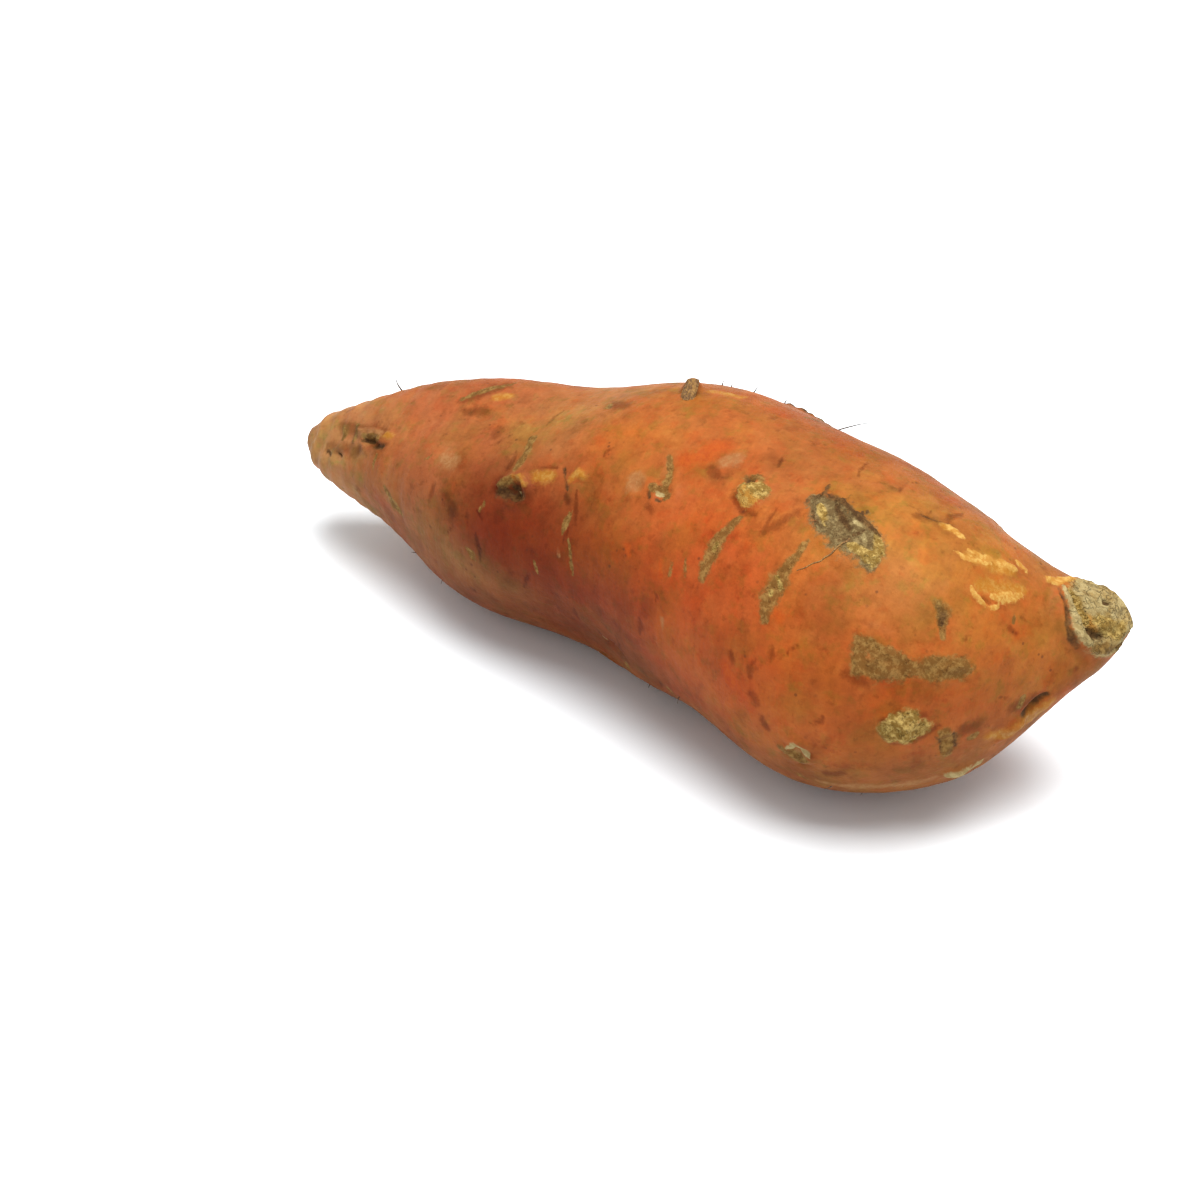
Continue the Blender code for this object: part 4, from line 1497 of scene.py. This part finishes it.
class Graph:
    """A material's node tree, built call by call around one Principled shader."""

    def __init__(self, name: str) -> None:
        """Start a material with its coordinates and its shader.

        Args:
            name: the material's name.
        """
        self.material = bpy.data.materials.new(name)
        self.material.use_nodes = True
        self.tree = self.material.node_tree
        self.shader = self.tree.nodes["Principled BSDF"]
        self.place = self.tree.nodes.new("ShaderNodeTexCoord").outputs["Object"]

    def join(self, source: object, target: Socket) -> None:
        """Feed a socket from another socket, or set its value.

        Args:
            source: a socket, a number or a colour.
            target: the socket that takes it.
        """
        if isinstance(source, Socket):
            self.tree.links.new(source, target)
        else:
            target.default_value = source

    def node(self, kind: str, **inputs: object) -> bpy.types.Node:
        """Add a node and feed its inputs.

        Args:
            kind: the node's type, without its prefix.
            inputs: what feeds each named input.

        Returns:
            The node.
        """
        node = self.tree.nodes.new("ShaderNode" + kind)
        for name, source in inputs.items():
            self.join(source, node.inputs[name])
        return node

    def attribute(self, name: str, output: str = "Fac") -> Socket:
        """Read a number or, from its colour output, a colour that the mesh holds.

        Args:
            name: the attribute's name.
            output: the output to read.

        Returns:
            The attribute's value.
        """
        node = self.node("Attribute")
        node.attribute_name = name
        return node.outputs[output]

    def stretched(self, scale: Place, turn: float = 0.0, shift: float = 0.0) -> Socket:
        """Object coordinates scaled along each axis, turned about the upright one and shifted.

        Args:
            scale: the scale along each axis.
            turn: the turn in radians.
            shift: the shift along every axis.

        Returns:
            The coordinates.
        """
        place, turns = (shift, shift, shift), (0.0, 0.0, turn)
        node = self.node("Mapping", Vector=self.place, Scale=scale, Rotation=turns, Location=place)
        return node.outputs["Vector"]

    def noise(
        self, scale: float, detail: float = 3.0, rough: float = 0.55, shift: float = 0.0
    ) -> Socket:
        """Layered noise from zero to one, at a number of cells per metre.

        Args:
            scale: cells per metre.
            detail: how many finer layers it has.
            rough: how strong they are.
            shift: moves the noise, in metres, so that it differs from others.

        Returns:
            The noise.
        """
        vector = self.stretched((scale, scale, scale), 0.0, shift * scale)
        return self.layers(vector, detail, rough)

    def layers(self, vector: Socket, detail: float, rough: float) -> Socket:
        """Layered noise from zero to one on coordinates that are already scaled.

        Args:
            vector: the coordinates.
            detail: how many finer layers it has.
            rough: how strong they are.

        Returns:
            The noise.
        """
        node = self.node("TexNoise", Vector=vector, Scale=1.0, Detail=detail, Roughness=rough)
        return node.outputs["Fac"]

    def cells(self, scale: float) -> Socket:
        """Distance to the nearest of many scattered points, at a number of them per metre."""
        return self.node("TexVoronoi", Vector=self.place, Scale=scale).outputs["Distance"]

    def sum(self, kind: str, *parts: object, clamp: bool = False) -> Socket:
        """Work out one number from two or more, by the named operation, from left to right.

        Args:
            kind: the operation.
            parts: the numbers.
            clamp: whether the result stays from zero to one.

        Returns:
            The number.
        """
        total = parts[0]
        for part in parts[1:]:
            node = self.node("Math")
            node.operation = kind
            node.use_clamp = clamp
            self.join(total, node.inputs[0])
            self.join(part, node.inputs[1])
            total = node.outputs[0]
        return total

    def blend(self, *parts: tuple[Socket, float], start: float = 0.0) -> Socket:
        """Add up noises, each centred on zero and multiplied by its strength.

        Args:
            parts: each noise with its strength.
            start: the value that they are added to.

        Returns:
            The sum.
        """
        total: object = start
        for source, strength in parts:
            node = self.node("Math")
            node.operation = "MULTIPLY_ADD"
            feeds = (self.sum("SUBTRACT", source, 0.5), strength, total)
            for target, feed in zip(node.inputs, feeds):
                self.join(feed, target)
            total = node.outputs[0]
        return total

    def step(self, value: object, low: float, high: float, top: float = 1.0) -> Socket:
        """Rise smoothly from zero to the top value between two limits.

        Args:
            value: the number to read.
            low: where the rise starts.
            high: where it ends.
            top: the value that it reaches.

        Returns:
            The risen value.
        """
        node = self.node("MapRange")
        node.interpolation_type = "SMOOTHSTEP"
        feeds = {"Value": value, "From Min": low, "From Max": high, "To Max": top}
        for name, source in feeds.items():
            self.join(source, node.inputs[name])
        return node.outputs["Result"]

    def mix(self, share: object, first: object, second: object, kind: str = "MIX") -> Socket:
        """Blend two colours by a share.

        Args:
            share: how much of the second colour counts.
            first: the colour underneath.
            second: the colour laid over it.
            kind: the way of blending.

        Returns:
            The blended colour.
        """
        node = self.node("Mix")
        node.data_type = "RGBA"
        node.blend_type = kind
        node.clamp_factor = True
        self.join(share, node.inputs["Factor"])
        colours = [socket for socket in node.inputs if socket.type == "RGBA"]
        for target, source in zip(colours, (first, second)):
            self.join((*source, 1.0) if isinstance(source, tuple) else source, target)
        return next(socket for socket in node.outputs if socket.type == "RGBA")

    def product(self, share: object, colour: object, tint: object) -> Socket:
        """Multiply a colour by a tint, by a share."""
        return self.mix(share, colour, tint, "MULTIPLY")

    def grade(self, colour: object, value: object) -> Socket:
        """Make a colour lighter or darker by a number round one."""
        return self.node("HueSaturation", Value=value, Color=colour).outputs["Color"]

    def dress(self, roughness: object, colour: object, height: object, depth: float) -> None:
        """Feed the shader its colour and gloss, and tilt its surface by a height.

        Args:
            roughness: how matt the surface is.
            colour: its colour.
            height: a height from zero to one.
            depth: what a height of one stands for, in metres.
        """
        node = self.node("Bump", Strength=1.0, Distance=depth, Height=height)
        self.join(node.outputs["Normal"], self.shader.inputs["Normal"])
        self.join(colour, self.shader.inputs["Base Color"])
        self.join(roughness, self.shader.inputs["Roughness"])


@dataclass(frozen=True)
class StainFinish:
    """How a stain looks: its colour, its lighter or darker flecks, its cover and its edge."""

    kind: Stain
    colour: Colour
    flecks: Colour
    cover: float
    low: float
    high: float
    wander: float


@dataclass(frozen=True)
class Blotch:
    """Soft blotches: their tint, cells per metre, shift, the noise's limits and their cover."""

    tint: Colour
    scale: float
    shift: float
    low: float
    high: float
    cover: float


class SkinGraph(Graph):
    """The skin's node tree, with the noises that its colour, gloss and relief share."""

    def __init__(self) -> None:
        """Start the material and lay its noises."""
        super().__init__("skin")
        self.mottle = self.noise(240.0, 4.0, 0.62)
        self.specks = self.noise(1100.0, 3.0, 0.6)
        self.streaks = self.layers(self.stretched((520.0, 60.0, 60.0), 0.25), 4.0, 0.65)
        self.edge = self.noise(420.0, 5.0, 0.72)
        self.grain = self.noise(1300.0, 4.0, 0.72)
        self.flecks = self.step(self.noise(760.0, 4.0, 0.7, 5.3), 0.42, 0.64)
        self.fissures = self.step(self.noise(900.0, 3.0, 0.7, 6.1), 0.56, 0.66, 0.75)
        ridges = self.sum("SUBTRACT", self.noise(310.0, 3.0, 0.6, 7.7), 0.5)
        self.cracks = self.step(self.sum("ABSOLUTE", ridges, 0.0), 0.035, 0.0)


@dataclass(frozen=True)
class SkinFinish:
    """Matt copper skin with its mottling, streaks, scars, cork and dust."""

    red_tint: Colour = (1.02, 0.70, 0.55)
    dust_tint: Colour = (1.06, 1.22, 1.32)
    olive_tint: Colour = (0.82, 1.02, 0.85)
    gold_tint: Colour = (1.08, 1.22, 0.95)
    # Brown tint of the SHADE strokes: stains, and in a few places painted shade.
    shade_tint: Colour = (0.60, 0.53, 0.45)
    umber_tint: Colour = (0.74, 0.70, 0.62)
    olive_fissure: Colour = (0.55, 0.50, 0.45)
    wart_fissure: Colour = (0.35, 0.33, 0.30)
    film: Colour = (0.56, 0.56, 0.56)
    pore: Colour = (0.10, 0.032, 0.012)
    dark_cork: Colour = (0.085, 0.052, 0.022)
    blotches: tuple[Blotch, ...] = (
        Blotch(umber_tint, 48.0, 0.1, 0.48, 0.68, 0.70),
        Blotch(dust_tint, 34.0, 0.3, 0.48, 0.66, 0.65),
        Blotch(umber_tint, 150.0, 0.5, 0.52, 0.68, 0.65),
        Blotch(umber_tint, 420.0, 0.6, 0.56, 0.70, 0.70),
        Blotch(red_tint, 55.0, 0.7, 0.48, 0.68, 0.60),
        Blotch(olive_tint, 85.0, 1.1, 0.48, 0.66, 0.80),
        Blotch(gold_tint, 45.0, 1.9, 0.44, 0.64, 0.80),
        Blotch(dust_tint, 210.0, 2.3, 0.50, 0.66, 0.60),
        Blotch(red_tint, 180.0, 2.9, 0.52, 0.68, 0.50),
        Blotch(olive_tint, 260.0, 3.1, 0.52, 0.66, 0.90),
    )
    stains: tuple[StainFinish, ...] = (
        StainFinish(Stain.OCHRE, (0.54, 0.215, 0.022), (0.64, 0.33, 0.065), 0.75, -0.45, 0.7, 2.0),
        StainFinish(Stain.TAN, (0.43, 0.19, 0.066), (0.54, 0.29, 0.115), 0.62, -0.5, 0.75, 2.0),
        StainFinish(Stain.RED, (0.62, 0.105, 0.012), (0.54, 0.072, 0.01), 0.7, -0.6, 0.8, 2.0),
        StainFinish(Stain.OLIVE, (0.215, 0.106, 0.023), (0.4, 0.232, 0.064), 0.88, -0.34, 0.4, 2.0),
        StainFinish(Stain.SCAR, (0.165, 0.112, 0.044), (0.35, 0.26, 0.112), 0.94, -0.3, 0.26, 1.6),
        StainFinish(Stain.WART, (0.31, 0.178, 0.036), (0.72, 0.49, 0.15), 0.96, -0.3, 0.28, 1.8),
        StainFinish(Stain.CREAM, (0.62, 0.28, 0.048), (0.78, 0.46, 0.115), 0.95, -0.14, 0.34, 2.4),
        StainFinish(Stain.PALE, (0.43, 0.31, 0.125), (0.64, 0.5, 0.23), 0.92, -0.2, 0.3, 1.8),
        # Near-black of the DARK strokes, partly painted shade in hollows.
        StainFinish(Stain.DARK, (0.085, 0.038, 0.013), (0.18, 0.086, 0.026), 0.9, -0.3, 0.55, 1.8),
    )
    tip: Colour = (0.330, 0.165, 0.065)
    tip_dark: Colour = (0.190, 0.095, 0.040)
    stem: Colour = (0.480, 0.320, 0.112)
    stem_grey: Colour = (0.610, 0.470, 0.215)
    stem_dark: Colour = (0.200, 0.125, 0.048)
    roughness: float = 0.56
    specular: float = 0.06
    bump_depth: float = 0.00035

    def bare(self, graph: SkinGraph) -> Socket:
        """Colour of the bare skin: broad tones and painted shade under blotches, mottling, streaks
        and pores.

        Args:
            graph: the skin's node tree.

        Returns:
            The colour.
        """
        colour = graph.attribute("tone_and_painted_shade", "Color")
        for blotch in self.blotches:
            noise = graph.noise(blotch.scale, 4.0, 0.62, blotch.shift)
            share = graph.step(noise, blotch.low, blotch.high, blotch.cover)
            colour = graph.product(share, colour, blotch.tint)
        value = graph.blend(
            (graph.noise(62.0, 3.0), 0.30), (graph.mottle, 0.46),
            (graph.specks, 0.30), (graph.streaks, 0.34), start=1.0,
        )
        colour = graph.grade(colour, value)
        pores = graph.step(graph.cells(330.0), 0.17, 0.07, 0.55)
        places = graph.step(graph.noise(80.0, 2.0, 0.5, 4.1), 0.50, 0.62)
        return graph.mix(graph.sum("MULTIPLY", pores, places), colour, self.pore)

    def bark(self, graph: SkinGraph) -> Socket:
        """Colour of the cork: cream and grey blotches, dark specks and dark cracks.

        Args:
            graph: the skin's node tree.

        Returns:
            The colour.
        """
        grey = graph.step(graph.noise(240.0, 5.0, 0.7, 8.3), 0.40, 0.62)
        specks = graph.step(graph.noise(650.0, 4.0, 0.75, 9.1), 0.54, 0.68, 0.6)
        colour = graph.mix(grey, self.stem, self.stem_grey)
        colour = graph.mix(specks, colour, self.stem_dark)
        return graph.mix(graph.sum("MULTIPLY", graph.cracks, 0.55), colour, self.stem_dark)

    def stained(self, graph: SkinGraph, colour: Socket) -> tuple[Socket, dict[Stain, Socket]]:
        """Lay each stain in turn over a colour, and fissures over the rough ones.

        A stain's field is made uneven by two noises. It covers where the sum passes its limits.

        Args:
            graph: the skin's node tree.
            colour: the colour underneath.

        Returns:
            The stained colour and each stain's share.
        """
        wander = graph.blend((graph.edge, 1.8), (graph.grain, 0.9))
        shade = graph.sum("ADD", graph.attribute(Stain.SHADE.value), wander)
        colour = graph.product(graph.step(shade, -0.50, 0.75), colour, self.shade_tint)
        shares = {}
        for look in self.stains:
            wander = graph.blend((graph.edge, look.wander), (graph.grain, 0.35 * look.wander))
            place = graph.sum("ADD", graph.attribute(look.kind.value), wander)
            share = graph.step(place, look.low, look.high, look.cover)
            colour = graph.mix(share, colour, graph.mix(graph.flecks, look.colour, look.flecks))
            if look.kind in (Stain.OLIVE, Stain.SCAR, Stain.WART):
                fissures = graph.sum("MULTIPLY", graph.fissures, share)
                colour = self.fissured(graph, look.kind, fissures, colour)
            shares[look.kind] = share
        return colour, shares

    def fissured(self, graph: SkinGraph, kind: Stain, share: Socket, colour: Socket) -> Socket:
        """Darken the fissures of a rough stain.

        Args:
            graph: the skin's node tree.
            kind: the stain.
            share: where its fissures are.
            colour: the colour underneath.

        Returns:
            The colour.
        """
        if kind is Stain.SCAR:
            return graph.mix(graph.sum("MULTIPLY", share, 0.5), colour, self.dark_cork)
        tint = self.olive_fissure if kind is Stain.OLIVE else self.wart_fissure
        return graph.product(share, colour, tint)

    def material(self) -> bpy.types.Material:
        """Build the skin's node tree.

        The bare skin is overlaid with the stem end's cork, with the stains and with the brown
        root tip. Cork and scars are rougher than the skin and have a deeper relief.

        Returns:
            The material.
        """
        graph = SkinGraph()
        colour = self.bare(graph)
        rim = graph.sum("ADD", graph.attribute("stem_cork"), graph.blend((graph.edge, 0.5)))
        cork = graph.step(rim, -0.06, 0.12)
        colour = graph.mix(cork, colour, self.bark(graph))
        colour, shares = self.stained(graph, colour)
        rim = graph.sum("ADD", graph.attribute("from_tip"), graph.blend((graph.edge, 0.10)))
        tip = graph.step(rim, 0.040, -0.02, 0.60)
        colour = graph.mix(tip, colour, graph.mix(graph.flecks, self.tip_dark, self.tip))
        colour = graph.product(1.0, colour, self.film)

        crusts = graph.sum("MAXIMUM", shares[Stain.SCAR], shares[Stain.WART])
        ends = graph.sum("MAXIMUM", cork, tip)
        flat = graph.sum("MAXIMUM", shares[Stain.OLIVE], shares[Stain.PALE])
        flat = graph.sum("MULTIPLY", flat, 0.45)
        corky = graph.sum("MULTIPLY", graph.sum("MAXIMUM", crusts, ends, flat), 0.7)
        gloss = graph.blend((graph.mottle, -0.22), start=self.roughness)
        gloss = graph.sum("ADD", gloss, graph.sum("MULTIPLY", corky, 0.30), clamp=True)
        height = graph.blend(
            (graph.specks, 0.30), (graph.mottle, 0.50), (graph.streaks, 0.35), start=0.5
        )
        rough = graph.sum("MULTIPLY", graph.blend((graph.grain, 1.3), (graph.flecks, 0.5)), corky)
        fissures = graph.sum("MULTIPLY", graph.fissures, corky, 0.6)
        cracks = graph.sum("MULTIPLY", graph.cracks, cork, 0.8)
        creases = graph.sum("ADD", fissures, cracks)
        height = graph.sum("SUBTRACT", graph.sum("ADD", height, rough), creases)
        graph.dress(gloss, colour, height, self.bump_depth)
        graph.shader.inputs["Specular IOR Level"].default_value = self.specular
        return graph.material


@dataclass(frozen=True)
class HairFinish:
    """Dry hair roots, pale brown and darker in places."""

    pale: Colour = (0.130, 0.090, 0.060)
    dark: Colour = (0.045, 0.028, 0.016)
    roughness: float = 0.7
    bump_depth: float = 0.0001

    def material(self) -> bpy.types.Material:
        """Build the hairs' node tree: two browns by noise along them.

        Returns:
            The material.
        """
        graph = Graph("hair_root")
        share = graph.step(graph.noise(480.0, 3.0), 0.35, 0.65)
        colour = graph.mix(share, self.dark, self.pale)
        graph.dress(self.roughness, colour, graph.noise(2600.0, 2.0), self.bump_depth)
        return graph.material


@dataclass(frozen=True)
class StubFinish:
    """Brown dry bark with darker fibres."""

    bark: Colour = (0.300, 0.155, 0.036)
    fibre: Colour = (0.130, 0.060, 0.016)
    roughness: float = 0.8
    bump_depth: float = 0.0004

    def material(self) -> bpy.types.Material:
        """Build the stub's node tree: fibres that run up it, over blotches.

        Returns:
            The material.
        """
        graph = Graph("bark")
        fibres = graph.layers(graph.stretched((2200.0, 2200.0, 420.0)), 4.0, 0.7)
        blotches = graph.blend((fibres, 1.0), (graph.noise(520.0, 3.0), 0.6), start=0.5)
        colour = graph.mix(graph.step(blotches, 0.38, 0.62), self.fibre, self.bark)
        graph.dress(self.roughness, colour, fibres, self.bump_depth)
        return graph.material


@dataclass
class Studio:
    """The pale floor, the soft lights and the camera."""

    floor_side: float = 8.0
    floor_cells: int = 8
    floor_gap: float = 0.02 * MM
    floor_colour: Colour = (0.86, 0.89, 0.91)
    floor_roughness: float = 0.9
    floor_specular: float = 0.1
    sky_colour: Colour = (1.0, 1.0, 1.0)
    sky_strength: float = 0.68
    key_size: float = 0.85
    key_power: float = 20.4
    key_place: Place = (0.12, 0.04, 1.02)
    key_aim: Place = (0.0, 0.0, 0.03)
    azimuth: float = 28.0
    elevation: float = 36.0
    distance: float = 0.64
    lens: float = 85.0
    sensor: float = 36.0
    nearest: float = 0.01
    aim: Place = (-0.0126, -0.0106, 0.0205)

    def floor(self) -> None:
        """Lay a plain pale floor just below the root, a grid with its middle at the origin."""
        count = self.floor_cells + 1
        side = np.linspace(-self.floor_side / 2.0, self.floor_side / 2.0, count)
        x, y = np.meshgrid(side, side, indexing="ij")
        points = np.stack([x.ravel(), y.ravel(), np.full(x.size, -self.floor_gap)], axis=1)
        row, column = np.meshgrid(*[np.arange(self.floor_cells)] * 2, indexing="ij")
        first = (row * count + column).ravel()
        faces = np.stack([first, first + count, first + count + 1, first + 1], axis=1)
        data = bpy.data.meshes.new("floor")
        data.from_pydata(points, [], faces.tolist())
        graph = Graph("floor")
        graph.shader.inputs["Base Color"].default_value = (*self.floor_colour, 1.0)
        graph.shader.inputs["Roughness"].default_value = self.floor_roughness
        graph.shader.inputs["Specular IOR Level"].default_value = self.floor_specular
        data.materials.append(graph.material)
        floor = bpy.data.objects.new("floor", data)
        bpy.context.collection.objects.link(floor)

    def sky(self) -> None:
        """Surround the scene with even pale light."""
        world = bpy.data.worlds.new("studio")
        world.use_nodes = True
        shade = world.node_tree.nodes["Background"]
        shade.inputs["Color"].default_value = (*self.sky_colour, 1.0)
        shade.inputs["Strength"].default_value = self.sky_strength
        bpy.context.scene.world = world

    def key(self) -> None:
        """Hang a large soft lamp above the root, a little to its right and back, aimed at it."""
        lamp = bpy.data.lights.new("key", "AREA")
        lamp.shape = "SQUARE"
        lamp.size = self.key_size
        lamp.energy = self.key_power
        holder = bpy.data.objects.new("key", lamp)
        bpy.context.collection.objects.link(holder)
        self.point(holder, np.array(self.key_place), np.array(self.key_aim))

    def camera(self) -> None:
        """Set the camera on its azimuth and elevation round the point that it looks at."""
        turn, rise = math.radians(self.azimuth), math.radians(self.elevation)
        flat = math.cos(rise)
        back = np.array([math.sin(turn) * flat, -math.cos(turn) * flat, math.sin(rise)])
        data = bpy.data.cameras.new("camera")
        data.lens = self.lens
        data.sensor_width = self.sensor
        data.clip_start = self.nearest
        holder = bpy.data.objects.new("camera", data)
        bpy.context.collection.objects.link(holder)
        aim = np.array(self.aim)
        self.point(holder, aim + self.distance * back, aim)
        bpy.context.scene.camera = holder

    @staticmethod
    def point(holder: bpy.types.Object, place: Array, aim: Array) -> None:
        """Put a lamp or camera at a place and turn it to a point, upright.

        Its -Z looks at the point, and its Y points up as far as it can.

        Args:
            holder: the lamp's or camera's object.
            place: where it stands.
            aim: what it looks at.
        """
        back = unit(place - aim)
        right = unit(np.cross(np.array([0.0, 0.0, 1.0]), back))
        up = np.cross(back, right)
        matrix = np.eye(4)
        matrix[:3, 0], matrix[:3, 1], matrix[:3, 2], matrix[:3, 3] = right, up, back, place
        holder.matrix_world = Matrix(matrix.tolist())

    def build(self) -> None:
        """Set up the whole studio and plain colour handling."""
        self.floor()
        self.sky()
        self.key()
        self.camera()
        bpy.context.scene.view_settings.view_transform = "Standard"
        LOG.info("studio: floor, sky, key lamp and camera")


def main() -> None:
    """Build the skin, its stub, strand and hairs, and the studio."""
    skin = RootSkin()
    skin.build()
    RootStub(skin).build()
    RootStrand(skin).build()
    HairRoots(skin).build()
    Studio().build()


if __name__ == "__main__":
    main()
